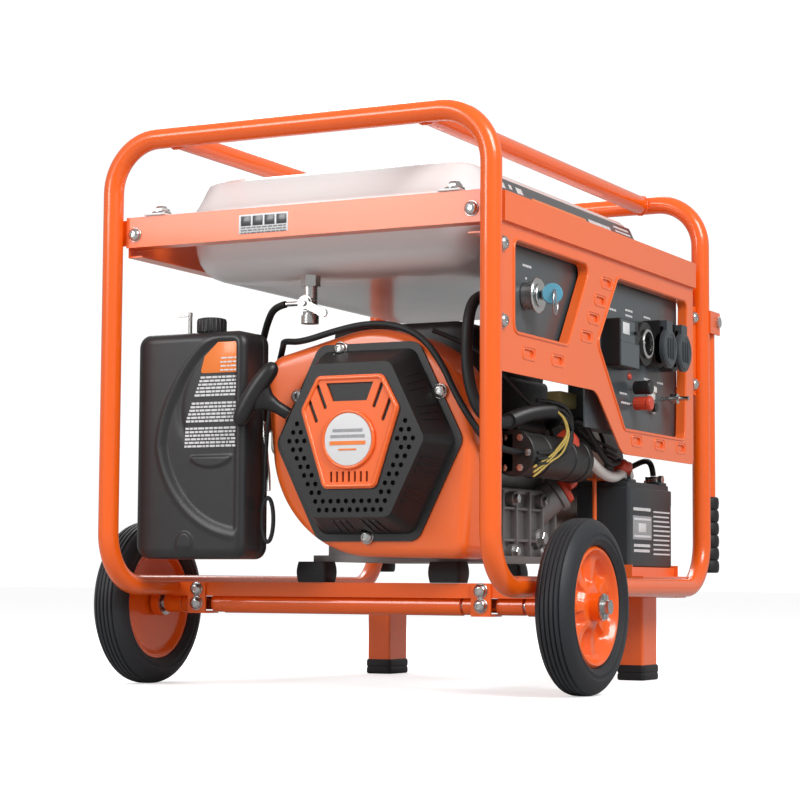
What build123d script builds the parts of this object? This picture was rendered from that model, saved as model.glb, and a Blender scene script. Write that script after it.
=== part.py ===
from build123d import *
from math import cos, radians, sin
import os

# Portable generator. Millimetres, +Z up, floor at z = 0. The recoil starter looks
# along -X, the lifting handles are at +X and the control panel looks along -Y.

os.makedirs("parts", exist_ok=True)

# ---- driving dimensions ----------------------------------------------------
tube_r = 12.7  # one-inch frame tube
bend_r = 65  # centre-line radius of every bend in it
front_x = -374  # centre line of the hoop at the recoil end
rear_x = 342  # centre line of the hoop at the handle end
side_y = 260  # posts and base tubes, each side
base_z = 128  # base tubes
top_z = 680  # top tubes
rail_y = 172  # top rails, each side
weld_gap = 0.05  # a coped end stops this short of its tube
sheet = 2  # pressed sheet
mid_x = (front_x + rear_x) / 2
half_span = (rear_x - front_x) / 2

cross_low, cross_top = 114, 132
front_cross_x, rear_cross_x = -216, 256

wheel_x, wheel_r, wheel_y = -211, 105, 306
tyre_w, rim_r = 46, 68
axle_r, axle_half = 8.5, 341
running = 0.05  # radial clearance of a running fit

leg_y, leg_l, leg_w, shoe_h = 196, 56, 36, 21

handle_x, handle_z, handle_r, grip_r = 371.7, 508, 10, 15

cradle_z0, cradle_z1 = 547, 585
tank_l, tank_w, seam_z = 580, 410, 587.2
tank_z0, tank_z1 = 510, 642

crank_y, crank_z = -64, 301
bolt_r, bolt_head_r, bolt_head_h = 4, 7.5, 5


def bar(x0, x1, y0, y1, z0, z1, mode=Mode.ADD):
    """A straight block between two corners, in the part that is being built."""
    with Locations(((x0 + x1) / 2, (y0 + y1) / 2, (z0 + z1) / 2)):
        Box(abs(x1 - x0), abs(y1 - y0), abs(z1 - z0), mode=mode)


def rod(start, end, radius, mode=Mode.ADD):
    """A round bar between two points, in the part that is being built."""
    run = Vector(*end) - Vector(*start)
    with Locations(Plane(origin=start, z_dir=run)):
        Cylinder(radius, run.length, align=(Align.CENTER, Align.CENTER, Align.MIN), mode=mode)


def post_copes():
    """Cuts the four posts' tubes out of a bracket that is welded to them."""
    for x in (front_x, rear_x):
        for y in (-side_y, side_y):
            with Locations((x, y, (base_z + top_z) / 2)):
                Cylinder(tube_r + weld_gap, top_z, mode=Mode.SUBTRACT)


# ---- frame -----------------------------------------------------------------
for hoop_name, post_x in (("front_hoop", front_x), ("rear_hoop", rear_x)):
    with BuildPart() as hoop:
        with BuildLine() as hoop_line:
            FilletPolyline(
                (mid_x, side_y, base_z),
                (post_x, side_y, base_z),
                (post_x, side_y, top_z),
                (post_x, -side_y, top_z),
                (post_x, -side_y, base_z),
                (mid_x, -side_y, base_z),
                radius=bend_r,
            )
        with BuildSketch(Plane(origin=hoop_line.line @ 0, z_dir=hoop_line.line % 0)):
            Circle(tube_r)
        sweep()
    hoop.part.label = hoop_name
    export_step(hoop.part, f"parts/{hoop_name}.step")

# Bolts: (point under the head, direction the head looks, length of shank).
cradle_bolt_y, cradle_bolt_z, cradle_face = 232, 563, half_span - 7
stud_y, stud_reach = 203, half_span - 30
fascia_y, plate_y, flange_y = -264, -250, -258
fascia_bolts_front = [(-351, z) for z in (433, 523)]
fascia_bolts_rear = [(318, z) for z in (415, 510)]
clamp_y = (220, -182)
clamp_face = front_cross_x - 13 - 3
recoil_flange_x, recoil_face_x = -299, -346
recoil_bolts = [(-161, 359), (-64, 187), (-26, 415), (33, 359)]
bolts = []
for end in (-1, 1):
    for y in (-cradle_bolt_y, cradle_bolt_y):
        bolts.append(((mid_x + end * cradle_face, y, cradle_bolt_z), (end, 0, 0), 12))
    for y in (-stud_y, stud_y):
        bolts.append(((mid_x + end * stud_reach, y, 591.4), (0, 0, 1), 22))
bolts += [((x, fascia_y, z), (0, -1, 0), 12) for x, z in fascia_bolts_front]
bolts += [((x, flange_y, z), (0, -1, 0), 12) for x, z in fascia_bolts_rear]
bolts += [((clamp_face, y, 123), (-1, 0, 0), 12) for y in clamp_y]
bolts += [((clamp_face, y, 105), (-1, 0, 0), 10) for y in clamp_y]
bolts += [((recoil_flange_x - 3, y, z), (-1, 0, 0), 7) for y, z in recoil_bolts]


def bolt_holes():
    """Cuts the clearance hole of every bolt out of the part that is being built."""
    for point, look, length in bolts:
        foot = Vector(*point) - Vector(*look) * length
        rod(tuple(foot), point, bolt_r + weld_gap, Mode.SUBTRACT)


with BuildPart() as frame_rails:
    for y in (-rail_y, rail_y):
        rod((front_x, y, top_z), (rear_x, y, top_z), tube_r)
    for x in (front_x, rear_x):
        rod((x, -side_y, top_z), (x, side_y, top_z), tube_r + weld_gap, Mode.SUBTRACT)
    for x, width in ((front_cross_x, 26), (rear_cross_x, 36)):
        bar(x - width / 2, x + width / 2, -side_y, side_y, cross_low, cross_top)
    for y in (-side_y, side_y):
        rod((front_x, y, base_z), (rear_x, y, base_z), tube_r + weld_gap, Mode.SUBTRACT)
    bolt_holes()
frame_rails.part.label = "frame_rails"
export_step(frame_rails.part, "parts/frame_rails.step")

with BuildPart() as flange_bolts:
    for point, look, length in bolts:
        foot = Vector(*point) - Vector(*look) * length
        rod(tuple(foot), point, bolt_r)
        with BuildSketch(Plane(origin=point, z_dir=look)):
            Circle(bolt_head_r)
        extrude(amount=bolt_head_h, taper=20)
    for y in (-side_y, side_y):
        rod((handle_x, y - 16, handle_z), (handle_x, y + 16, handle_z), bolt_r)
        for face in (-1, 1):
            rod((handle_x, y + face * 15.1, handle_z), (handle_x, y + face * 19, handle_z), bolt_head_r)
flange_bolts.part.label = "flange_bolts"
export_step(flange_bolts.part, "parts/flange_bolts.step")

with BuildPart() as post_brackets:
    for end in (-1, 1):
        tab_x = mid_x + end * (cradle_face - sheet - 1.5)
        for y in (-238, 238):
            bar(tab_x - 1.5, tab_x + 1.5, y - 16, y + 16, cradle_z0 + 3, cradle_z1 - 3)
    bar(front_x, -340, fascia_y + sheet, fascia_y + sheet + 3, 420, 536)
    bar(300, rear_x, flange_y + sheet, flange_y + sheet + 3, 400, 526)
    for y in (-side_y, side_y):
        for face in (-1, 1):
            ear_y = y + face * 13.5
            bar(rear_x, handle_x + 11, ear_y - 1.5, ear_y + 1.5, handle_z - 18, handle_z + 14)
    for y in (-side_y, side_y):
        rod((handle_x, y - 20, handle_z), (handle_x, y + 20, handle_z), bolt_r + weld_gap, Mode.SUBTRACT)
    post_copes()
    bolt_holes()
post_brackets.part.label = "post_brackets"
export_step(post_brackets.part, "parts/post_brackets.step")

# ---- running gear ----------------------------------------------------------
with BuildPart() as axle_clamps:
    for y in clamp_y:
        bar(clamp_face, clamp_face + 3, y - 13, y + 13, 92, 131)
        bar(clamp_face, wheel_x + 12, y - 13, y + 13, 92, 95)
        for low, high in ((y - 50, y - 16), (y + 16, y + 29)):
            rod((wheel_x, low, wheel_r), (wheel_x, high, wheel_r), axle_r + 3)
    rod((wheel_x, -axle_half, wheel_r), (wheel_x, axle_half, wheel_r), axle_r + weld_gap, Mode.SUBTRACT)
    bar(clamp_face + 3, 0, -side_y, side_y, cross_low, cross_top, Mode.SUBTRACT)
    bolt_holes()
axle_clamps.part.label = "axle_clamps"
export_step(axle_clamps.part, "parts/axle_clamps.step")

with BuildPart() as axle:
    rod((wheel_x, -axle_half, wheel_r), (wheel_x, axle_half, wheel_r), axle_r)
    for face in (-1, 1):
        for inner, outer in ((279.6, 280.6), (331.4, 333.4)):
            rod((wheel_x, face * inner, wheel_r), (wheel_x, face * outer, wheel_r), 16)
        rod((wheel_x, face * 336.5, wheel_r - 14), (wheel_x, face * 336.5, wheel_r + 14), 1.6)
axle.part.label = "axle"
export_step(axle.part, "parts/axle.step")

hub_half, bead_r = 25, rim_r + 4
for side_name, side in (("left", 1), ("right", -1)):
    wheel_plane = Plane(origin=(wheel_x, side * wheel_y, wheel_r), z_dir=(0, side, 0))
    with BuildPart() as rim:
        with BuildSketch(wheel_plane.offset(-15)):
            Circle(bead_r)
            Circle(bead_r - 5, mode=Mode.SUBTRACT)
        extrude(amount=30)
        with BuildSketch(wheel_plane.offset(2)):
            Circle(bead_r - 4)
            with PolarLocations(44, 6):
                Circle(11, mode=Mode.SUBTRACT)
        extrude(amount=6)
        with BuildSketch(wheel_plane.offset(-hub_half)):
            Circle(17)
        extrude(amount=2 * hub_half)
        with BuildSketch(wheel_plane.offset(-hub_half)):
            Circle(axle_r + running)
        extrude(amount=2 * hub_half, mode=Mode.SUBTRACT)
    rim.part.label = f"rim_{side_name}"
    export_step(rim.part, f"parts/rim_{side_name}.step")

    with BuildPart() as tyre:
        with BuildSketch(wheel_plane.offset(-tyre_w / 2)):
            Circle(wheel_r)
        extrude(amount=tyre_w)
        fillet(tyre.edges().filter_by(GeomType.CIRCLE), 11)
        with BuildSketch(wheel_plane.offset(-tyre_w / 2)):
            Circle(bead_r + 0.02)
        extrude(amount=tyre_w, mode=Mode.SUBTRACT)
    tyre.part.label = f"tyre_{side_name}"
    export_step(tyre.part, f"parts/tyre_{side_name}.step")

with BuildPart() as stand_legs:
    for side in (-1, 1):
        with BuildSketch(Plane(origin=(rear_cross_x, side * leg_y, shoe_h))):
            RectangleRounded(leg_l, leg_w, 3)
        extrude(amount=cross_low - shoe_h)
stand_legs.part.label = "stand_legs"
export_step(stand_legs.part, "parts/stand_legs.step")

with BuildPart() as leg_shoes:
    for side in (-1, 1):
        with BuildSketch(Plane(origin=(rear_cross_x, side * leg_y, 0))):
            RectangleRounded(leg_l + 5, leg_w + 5, 5)
        extrude(amount=shoe_h)
leg_shoes.part.label = "leg_shoes"
export_step(leg_shoes.part, "parts/leg_shoes.step")

# ---- lifting handles -------------------------------------------------------
grip_z0, grip_z1, rib_count = 149, 257, 6
for side_name, side in (("left", 1), ("right", -1)):
    y = side * side_y
    with BuildPart() as handle:
        rod((handle_x, y, grip_z0 + 4), (handle_x, y, handle_z + 12), handle_r)
        fillet(handle.edges().sort_by(Axis.Z)[-1], 4)
        rod((handle_x, y - 20, handle_z), (handle_x, y + 20, handle_z), bolt_r + running, Mode.SUBTRACT)
    handle.part.label = f"handle_{side_name}"
    export_step(handle.part, f"parts/handle_{side_name}.step")

    rib_pitch = (grip_z1 - grip_z0) / rib_count
    with BuildPart() as grip:
        rod((handle_x, y, grip_z0), (handle_x, y, grip_z1), grip_r - 2.5)
        for rib in range(rib_count):
            low = grip_z0 + rib * rib_pitch
            rod((handle_x, y, low), (handle_x, y, low + 0.75 * rib_pitch), grip_r)
        rod((handle_x, y, grip_z0 + 4), (handle_x, y, grip_z1), handle_r + 0.02, Mode.SUBTRACT)
    grip.part.label = f"grip_{side_name}"
    export_step(grip.part, f"parts/grip_{side_name}.step")

# ---- tank cradle -----------------------------------------------------------
side_web_y = 245
with BuildPart() as tank_cradle:
    for end in (-1, 1):
        face = mid_x + end * cradle_face
        back = mid_x + end * (cradle_face - sheet)
        bar(face, back, -side_web_y, side_web_y, cradle_z0, cradle_z1)
        bar(face, mid_x + end * (half_span - 39), -side_web_y, side_web_y, cradle_z1 - sheet, cradle_z1)
        lip = mid_x + end * (half_span - 29)
        bar(face, lip, -side_web_y + 3, side_web_y - 3, cradle_z0, cradle_z0 + sheet)
    for side in (-1, 1):
        web = side * side_web_y
        x0, x1 = mid_x - cradle_face + sheet + 3.2, mid_x + cradle_face - sheet - 3.2
        low, high = cradle_z0 - 12, cradle_z1 - sheet
        bar(x0, x1, web, web - side * sheet, low, high)
        bar(x0, x1, web, web - side * 25, high - sheet, high)
        bar(x0, x1, web, web - side * 20, low, low + sheet)
    bolt_holes()
tank_cradle.part.label = "tank_cradle"
export_step(tank_cradle.part, "parts/tank_cradle.step")

# ---- tank ------------------------------------------------------------------
tap_x, tap_y = -286, 26
filler_x, filler_y, neck_r = -60, 40, 27
shell_r, seam = 50, 8
with BuildPart() as tank_lower_shell:
    with BuildSketch(Plane((mid_x, 0, tank_z0))):
        RectangleRounded(tank_l, tank_w, shell_r)
    extrude(amount=seam_z - tank_z0)
    fillet(tank_lower_shell.faces().sort_by(Axis.Z)[0].edges(), 26)
    offset(amount=-sheet, openings=tank_lower_shell.faces().sort_by(Axis.Z)[-1])
    with BuildSketch(Plane((mid_x, 0, seam_z - sheet))):
        RectangleRounded(tank_l + 2 * seam, tank_w + 2 * seam, shell_r + seam)
        for end in (-1, 1):
            with Locations((end * (stud_reach - 8), stud_y), (end * (stud_reach - 8), -stud_y)):
                Rectangle(52, 26)
        RectangleRounded(tank_l - sheet, tank_w - sheet, shell_r, mode=Mode.SUBTRACT)
    extrude(amount=sheet)
    rod((tap_x, tap_y, tank_z0 - 5), (tap_x, tap_y, tank_z0 + 5), 5, Mode.SUBTRACT)
    bolt_holes()
tank_lower_shell.part.label = "tank_lower_shell"
export_step(tank_lower_shell.part, "parts/tank_lower_shell.step")

shoulder_z = 605
with BuildPart() as tank_upper_shell:
    with BuildSketch(Plane((mid_x, 0, seam_z))):
        RectangleRounded(tank_l, tank_w, shell_r)
    extrude(amount=shoulder_z - seam_z)
    extrude(tank_upper_shell.faces().sort_by(Axis.Z)[-1], amount=tank_z1 - shoulder_z, taper=24)
    fillet(tank_upper_shell.faces().sort_by(Axis.Z)[-1].edges(), 10)
    offset(amount=-sheet, openings=tank_upper_shell.faces().sort_by(Axis.Z)[0])
    with BuildSketch(Plane((mid_x, 0, seam_z))):
        RectangleRounded(tank_l + 2 * seam, tank_w + 2 * seam, shell_r + seam)
        RectangleRounded(tank_l - sheet, tank_w - sheet, shell_r, mode=Mode.SUBTRACT)
    extrude(amount=sheet)
    rod((filler_x, filler_y, tank_z1 - 3), (filler_x, filler_y, tank_z1 + 10), neck_r)
    rod((filler_x, filler_y, tank_z1 - 6), (filler_x, filler_y, tank_z1 + 10), neck_r - 3, Mode.SUBTRACT)
tank_upper_shell.part.label = "tank_upper_shell"
export_step(tank_upper_shell.part, "parts/tank_upper_shell.step")

with BuildPart() as fuel_cap:
    skirt = (filler_x, filler_y, tank_z1 + 1)
    rod(skirt, (filler_x, filler_y, tank_z1 + 19), neck_r + 7)
    rod(skirt, (filler_x, filler_y, tank_z1 + 10.3), neck_r + running, Mode.SUBTRACT)
    bar(filler_x - 28, filler_x + 28, filler_y - 5, filler_y + 5, tank_z1 + 19, tank_z1 + 24)
fuel_cap.part.label = "fuel_cap"
export_step(fuel_cap.part, "parts/fuel_cap.step")

# ---- fuel tap --------------------------------------------------------------
tap_pivot_z, barb_z = 474, 476
with BuildPart() as fuel_tap:
    with BuildSketch(Plane((tap_x, tap_y, tank_z0 - 14))):
        RegularPolygon(12.5, 6)
    extrude(amount=13.9)
    rod((tap_x, tap_y, tap_pivot_z - 14), (tap_x, tap_y, tank_z0 - 14), 9)
    rod((tap_x, tap_y, tap_pivot_z), (tap_x - 14, tap_y, tap_pivot_z), 10)
    rod((tap_x - 14, tap_y, tap_pivot_z), (tap_x - 21, tap_y, tap_pivot_z), 4)
    rod((tap_x, tap_y, barb_z), (tap_x, tap_y + 34, barb_z), 3)
    rod((tap_x, tap_y, tap_pivot_z - 24), (tap_x, tap_y, tap_pivot_z - 14), 11)
fuel_tap.part.label = "fuel_tap"
export_step(fuel_tap.part, "parts/fuel_tap.step")

lever_plane = Plane(origin=(tap_x - 18, tap_y, tap_pivot_z), x_dir=(0, -0.9, -0.44), z_dir=(1, 0, 0))
with BuildPart() as fuel_tap_lever:
    with BuildSketch(lever_plane):
        SlotCenterPoint((15, 0), (31, 0), 10)
        Circle(8)
    extrude(amount=3)
    rod((tap_x - 30, tap_y, tap_pivot_z), (tap_x, tap_y, tap_pivot_z), 4 + running, Mode.SUBTRACT)
fuel_tap_lever.part.label = "fuel_tap_lever"
export_step(fuel_tap_lever.part, "parts/fuel_tap_lever.step")

# ---- control panel ---------------------------------------------------------
fascia_left, fascia_right, fascia_top, fascia_low, fascia_mid = -355, 298, 584, 300, 375
plane_front = Plane(origin=(0, fascia_y, 0), x_dir=(1, 0, 0), z_dir=(0, -1, 0))
left_window = [(-317, 531), (-86, 531), (-159, 425), (-317, 425)]
right_window = [(10, 526), (270, 526), (259, 334), (34, 334), (-58, 437)]
slots = [(-28 - 22.7 * step, 516 - 25 * step) for step in range(4)]  # down the slanting edge
slots += [(x, 402) for x in (-275, -188)]
slots += [(x, 320) for x in (77, 163, 247)]
recess = fascia_y - plate_y

with BuildPart() as fascia:
    with BuildSketch(plane_front.offset(-sheet)):
        with BuildLine():
            FilletPolyline(
                (fascia_left, fascia_top),
                (fascia_right, fascia_top),
                (fascia_right, fascia_low),
                (26, fascia_low),
                (-64, fascia_mid),
                (fascia_left, fascia_mid),
                radius=(4, 8, 8, 40, 40, 4),
                close=True,
            )
        make_face()
    extrude(amount=sheet)
    bar(fascia_left, fascia_right, fascia_y, fascia_y - 5, 549, fascia_top)
    for window in (left_window, right_window):
        with BuildSketch(plane_front.offset(recess + sheet)):
            with BuildLine():
                Polyline(*window, close=True)
            make_face()
            fillet(vertices(), 10)
            offset(amount=sheet)
        extrude(amount=-recess - sheet)
        with BuildSketch(plane_front.offset(recess)):
            with BuildLine():
                Polyline(*window, close=True)
            make_face()
            fillet(vertices(), 10)
        extrude(amount=-recess + 1, mode=Mode.SUBTRACT)
    with BuildSketch(plane_front):
        with Locations(*slots):
            SlotOverall(28, 9)
    extrude(amount=-sheet, mode=Mode.SUBTRACT)
    bar(fascia_right - 2, fascia_right, fascia_y + 1, flange_y + sheet, 310, 575)
    bar(fascia_right - 2, 327, flange_y, flange_y + sheet, 400, 526)
    ledge_z = fascia_top - 0.8
    bar(fascia_left + 4, fascia_right - 4, fascia_y + 1, -247, ledge_z, ledge_z + sheet - 0.4)
    bolt_holes()
fascia.part.label = "fascia"
export_step(fascia.part, "parts/fascia.step")

ignition_x, ignition_z = -250, 474
breaker_x0, breaker_x1, breaker_z0, breaker_z1 = -8, 60, 412, 474
round_x, socket_z = 96, 450
lidded = (160, 218)
box_x0, box_x1, box_z0, box_z1, box_back = 20, 262, 336, 506, -190
with BuildPart() as control_plates:
    bar(-321, -80, plate_y + sheet, plate_y + 2 * sheet, 420, 534)
    bar(-64, 274, plate_y + sheet, plate_y + 2 * sheet, 330, 530)
    bar(box_x0, box_x1, plate_y + 2 * sheet, box_back, box_z0, box_z1)
    inner = (box_x0 + sheet, box_x1 - sheet, plate_y + 2 * sheet, box_back, box_z0 + sheet, box_z1 - sheet)
    bar(*inner, mode=Mode.SUBTRACT)
    rod((ignition_x, plate_y, ignition_z), (ignition_x, box_back, ignition_z), 10, Mode.SUBTRACT)
control_plates.part.label = "control_plates"
export_step(control_plates.part, "parts/control_plates.step")
plate_face = plate_y + sheet

with BuildPart() as ignition_switch:
    barrel_face = (ignition_x, plate_face - 12, ignition_z)
    rod(barrel_face, (ignition_x, plate_face - 0.02, ignition_z), 14)
    rod((ignition_x, plate_face - 0.02, ignition_z), (ignition_x, -222, ignition_z), 9.9)
    rod(barrel_face, (ignition_x, -232, ignition_z), 5 + running, Mode.SUBTRACT)
ignition_switch.part.label = "ignition_switch"
export_step(ignition_switch.part, "parts/ignition_switch.step")

with BuildPart() as ignition_key:
    rod((ignition_x, plate_face - 16, ignition_z), (ignition_x, -234, ignition_z), 5)
    bar(ignition_x - 1.5, ignition_x + 1.5, -286, plate_face - 15, ignition_z - 11, ignition_z + 11)
ignition_key.part.label = "ignition_key"
export_step(ignition_key.part, "parts/ignition_key.step")

breaker_face = -273
toggle_x, toggle_z = breaker_x0 + 50, breaker_z1 - 16
with BuildPart() as breaker_body:
    bar(breaker_x0, breaker_x1, breaker_face, plate_face - 0.02, breaker_z0, breaker_z1)
    fillet(breaker_body.edges().filter_by(Axis.Y), 3)
    with Locations((toggle_x, breaker_face + 6, toggle_z)):
        Box(10, 12, 24, mode=Mode.SUBTRACT)
breaker_body.part.label = "breaker_body"
export_step(breaker_body.part, "parts/breaker_body.step")

with BuildPart() as breaker_lever:
    rod((toggle_x - 4.5, breaker_face + 4, toggle_z), (toggle_x + 4.5, breaker_face + 4, toggle_z), 3.5)
    bar(toggle_x - 4, toggle_x + 4, breaker_face - 7, breaker_face + 4, toggle_z - 2, toggle_z + 2)
breaker_lever.part.label = "breaker_lever"
export_step(breaker_lever.part, "parts/breaker_lever.step")

socket_face = -270
lid_hinge_z = socket_z + 34
with BuildPart() as power_sockets:
    rod((round_x, socket_face, socket_z), (round_x, plate_face - 0.02, socket_z), 29)
    rod((round_x, socket_face, socket_z), (round_x, plate_face - 8, socket_z), 15, Mode.SUBTRACT)
    for x in lidded:
        rod((x, socket_face + 5, socket_z), (x, plate_face - 0.02, socket_z), 26)
        rod((x, socket_face + 5, socket_z), (x, plate_face - 3, socket_z), 20, Mode.SUBTRACT)
        for ear_x in (x - 14, x + 14):
            bar(ear_x - 2, ear_x + 2, -271, plate_face - 0.02, lid_hinge_z - 14, lid_hinge_z + 3)
        rod((x - 16, -268, lid_hinge_z), (x + 16, -268, lid_hinge_z), 1.5)
power_sockets.part.label = "power_sockets"
export_step(power_sockets.part, "parts/power_sockets.step")

for lid_number, x in enumerate(lidded, start=1):
    with BuildPart() as lid:
        with BuildSketch(Plane(origin=(x, -275, socket_z), x_dir=(1, 0, 0), z_dir=(0, -1, 0))):
            Circle(27)
        extrude(amount=5)
        bar(x - 11, x + 11, -280, -275, socket_z, lid_hinge_z - 4)
        bar(x - 11, x + 11, -280, -268, lid_hinge_z - 5, lid_hinge_z + 3)
        rod((x - 11, -268, lid_hinge_z), (x + 11, -268, lid_hinge_z), 4)
        rod((x - 14, -268, lid_hinge_z), (x + 14, -268, lid_hinge_z), 1.5 + running, Mode.SUBTRACT)
        bar(x - 20, x + 20, -267.4, -240, socket_z, lid_hinge_z - 4.2, Mode.SUBTRACT)
    lid.part.label = f"socket_lid_{lid_number}"
    export_step(lid.part, f"parts/socket_lid_{lid_number}.step")

dc_x, dc_black_z, dc_red_z = 96, 392, 371
button_x, button_z = 168, 371
earth_x, earth_z = 213, 386
with BuildPart() as terminals:
    for z in (dc_black_z, dc_red_z):
        rod((dc_x, plate_face - 25, z), (dc_x, plate_face - 0.02, z), 3)
    rod((button_x, plate_face - 6, button_z), (button_x, plate_face - 0.02, button_z), 9)
    rod((button_x, plate_face - 6, button_z), (button_x, plate_face - 1, button_z), 6.4, Mode.SUBTRACT)
    rod((earth_x, plate_face - 40, earth_z), (earth_x, plate_face - 0.02, earth_z), 3)
    rod((earth_x, plate_face - 24, earth_z), (earth_x, plate_face - 14, earth_z), 7)
    bar(earth_x - 14, earth_x + 14, plate_face - 30, plate_face - 16, earth_z - 1.5, earth_z + 1.5)
terminals.part.label = "terminals"
export_step(terminals.part, "parts/terminals.step")

for knob_name, z in (("dc_knob_black", dc_black_z), ("dc_knob_red", dc_red_z)):
    with BuildPart() as knob:
        rod((dc_x, plate_face - 30, z), (dc_x, plate_face - 6, z), 8.5)
        rod((dc_x, plate_face - 26, z), (dc_x, plate_face - 6, z), 3 + running, Mode.SUBTRACT)
    knob.part.label = knob_name
    export_step(knob.part, f"parts/{knob_name}.step")

with BuildPart() as dc_button:
    rod((button_x, plate_face - 10, button_z), (button_x, plate_face - 4, button_z), 6)
dc_button.part.label = "dc_button"
export_step(dc_button.part, "parts/dc_button.step")

# ---- battery ---------------------------------------------------------------
batt_x0, batt_x1, batt_y0, batt_y1, batt_z0, batt_z1 = 111, 276, -240, -163, 155, 262
with BuildPart() as battery:
    bar(batt_x0, batt_x1, batt_y0, batt_y1, batt_z0, batt_z1)
    fillet(battery.edges().filter_by(Axis.Z), 4)
    bar(batt_x0 + 4, batt_x1 - 4, batt_y0 + 4, batt_y1 - 4, batt_z1, batt_z1 + 7)
    for x in (batt_x0 + 24, batt_x1 - 24):
        bar(x - 9, x + 9, batt_y0 + 10, batt_y0 + 28, batt_z1 + 7, batt_z1 + 20)
battery.part.label = "battery"
export_step(battery.part, "parts/battery.step")

with BuildPart() as battery_tray:
    bar(batt_x0 - 6, batt_x1 + 6, batt_y0 - 22, batt_y1 + 8, 141, 143)
    bar(batt_x0 - 2, batt_x1 + 2, batt_y0 - 2, batt_y1 + 2, 143, batt_z0)
    for x in (batt_x0 - 6, batt_x1 + 4):
        bar(x, x + 2, batt_y0 - 6, batt_y1 + 8, 143, 158)
    for x in (batt_x0 - 14, batt_x1 + 14):
        rod((x, -196, 143), (x, -196, batt_z1 + 16), 3)
        bar(x - 8, x + 8, -204, -188, 141, 143)
    bar(batt_x0 - 20, batt_x1 + 20, -204, -188, batt_z1 + 8, batt_z1 + 11)
    bar(rear_cross_x - 14, rear_cross_x + 14, -190, -160, cross_top, 141)
battery_tray.part.label = "battery_tray"
export_step(battery_tray.part, "parts/battery_tray.step")

# ---- crank train -----------------------------------------------------------
plane_end = Plane(origin=(0, crank_y, crank_z), x_dir=(0, 1, 0), z_dir=(1, 0, 0))
throw_x, throw_r, web_r, journal_r = -120, 32, 52, 14
with BuildPart() as crankshaft:
    rod((-296, crank_y, crank_z), (throw_x - 22, crank_y, crank_z), journal_r)
    rod((throw_x + 22, crank_y, crank_z), (284, crank_y, crank_z), journal_r)
    for x in (throw_x - 24, throw_x + 12):
        rod((x, crank_y, crank_z), (x + 12, crank_y, crank_z), web_r)
    rod((throw_x - 14, crank_y + throw_r, crank_z), (throw_x + 14, crank_y + throw_r, crank_z), 15)
crankshaft.part.label = "crankshaft"
export_step(crankshaft.part, "parts/crankshaft.step")

fan_r, blades = 96, 14
with BuildPart() as flywheel:
    rod((-262, crank_y, crank_z), (-236, crank_y, crank_z), fan_r)
    rod((-284, crank_y, crank_z), (-262, crank_y, crank_z), 30)
    with BuildSketch(plane_end.offset(-280)):
        with PolarLocations(62, blades):
            Rectangle(58, 3)
    extrude(amount=18)
    rod((-290, crank_y, crank_z), (-230, crank_y, crank_z), journal_r + 0.02, Mode.SUBTRACT)
flywheel.part.label = "flywheel"
export_step(flywheel.part, "parts/flywheel.step")

with BuildPart() as alternator_rotor:
    with BuildSketch(plane_end.offset(70)):
        with PolarLocations(0, 2):
            Rectangle(136, 52)
        Circle(34)
    extrude(amount=140)
    rod((60, crank_y, crank_z), (220, crank_y, crank_z), journal_r + 0.02, Mode.SUBTRACT)
alternator_rotor.part.label = "alternator_rotor"
export_step(alternator_rotor.part, "parts/alternator_rotor.step")

alternator_r, bore_r = 98, 78
with BuildPart() as alternator_housing:
    rod((32, crank_y, crank_z), (288, crank_y, crank_z), alternator_r)
    rod((40, crank_y, crank_z), (280, crank_y, crank_z), bore_r, Mode.SUBTRACT)
    rod((30, crank_y, crank_z), (290, crank_y, crank_z), journal_r + running, Mode.SUBTRACT)
    for y in (crank_y - 62, crank_y + 62):
        bar(rear_cross_x - 14, rear_cross_x + 14, y - 18, y + 18, 158, 240)
    rod((40, crank_y, crank_z), (280, crank_y, crank_z), bore_r, Mode.SUBTRACT)
alternator_housing.part.label = "alternator_housing"
export_step(alternator_housing.part, "parts/alternator_housing.step")

# ---- engine ----------------------------------------------------------------
case_x0, case_x1 = -208, 30
neck_run = Vector(24, -40, 32).normalized()
neck_wall_r = 20
neck_end = Vector(8, -184, 252)
with BuildPart() as crankcase:
    with BuildSketch(plane_end.offset(case_x0)):
        Circle(100)
        with Locations((0, -96)):
            Rectangle(208, 90)
    extrude(amount=case_x1 - case_x0)
    bar(-211, case_x1, -184, 60, 158, 166)
    rod(tuple(neck_end - neck_run * 56), tuple(neck_end), neck_wall_r)
    rod((throw_x - 34, crank_y, crank_z), (throw_x + 34, crank_y, crank_z), 72, Mode.SUBTRACT)
    rod((-240, crank_y, crank_z), (40, crank_y, crank_z), journal_r + running, Mode.SUBTRACT)
    rod(tuple(neck_end - neck_run * 26), tuple(neck_end), 12 + running, Mode.SUBTRACT)
crankcase.part.label = "crankcase"
export_step(crankcase.part, "parts/crankcase.step")

with BuildPart() as oil_plug:
    rod(tuple(neck_end - neck_run * 22), tuple(neck_end + neck_run * 1), 12)
    rod(tuple(neck_end + neck_run * 0.4), tuple(neck_end + neck_run * 12), 19)
    with BuildSketch(Plane(origin=tuple(neck_end + neck_run * 12), z_dir=neck_run)):
        SlotOverall(36, 9)
    extrude(amount=9)
oil_plug.part.label = "oil_plug"
export_step(oil_plug.part, "parts/oil_plug.step")

lean = radians(25)
cylinder_run = (0, cos(lean), sin(lean))


def along_cylinder(reach):
    """The point on the cylinder's axis this far from the crank."""
    return (throw_x, crank_y + reach * cos(lean), crank_z + reach * sin(lean))


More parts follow.
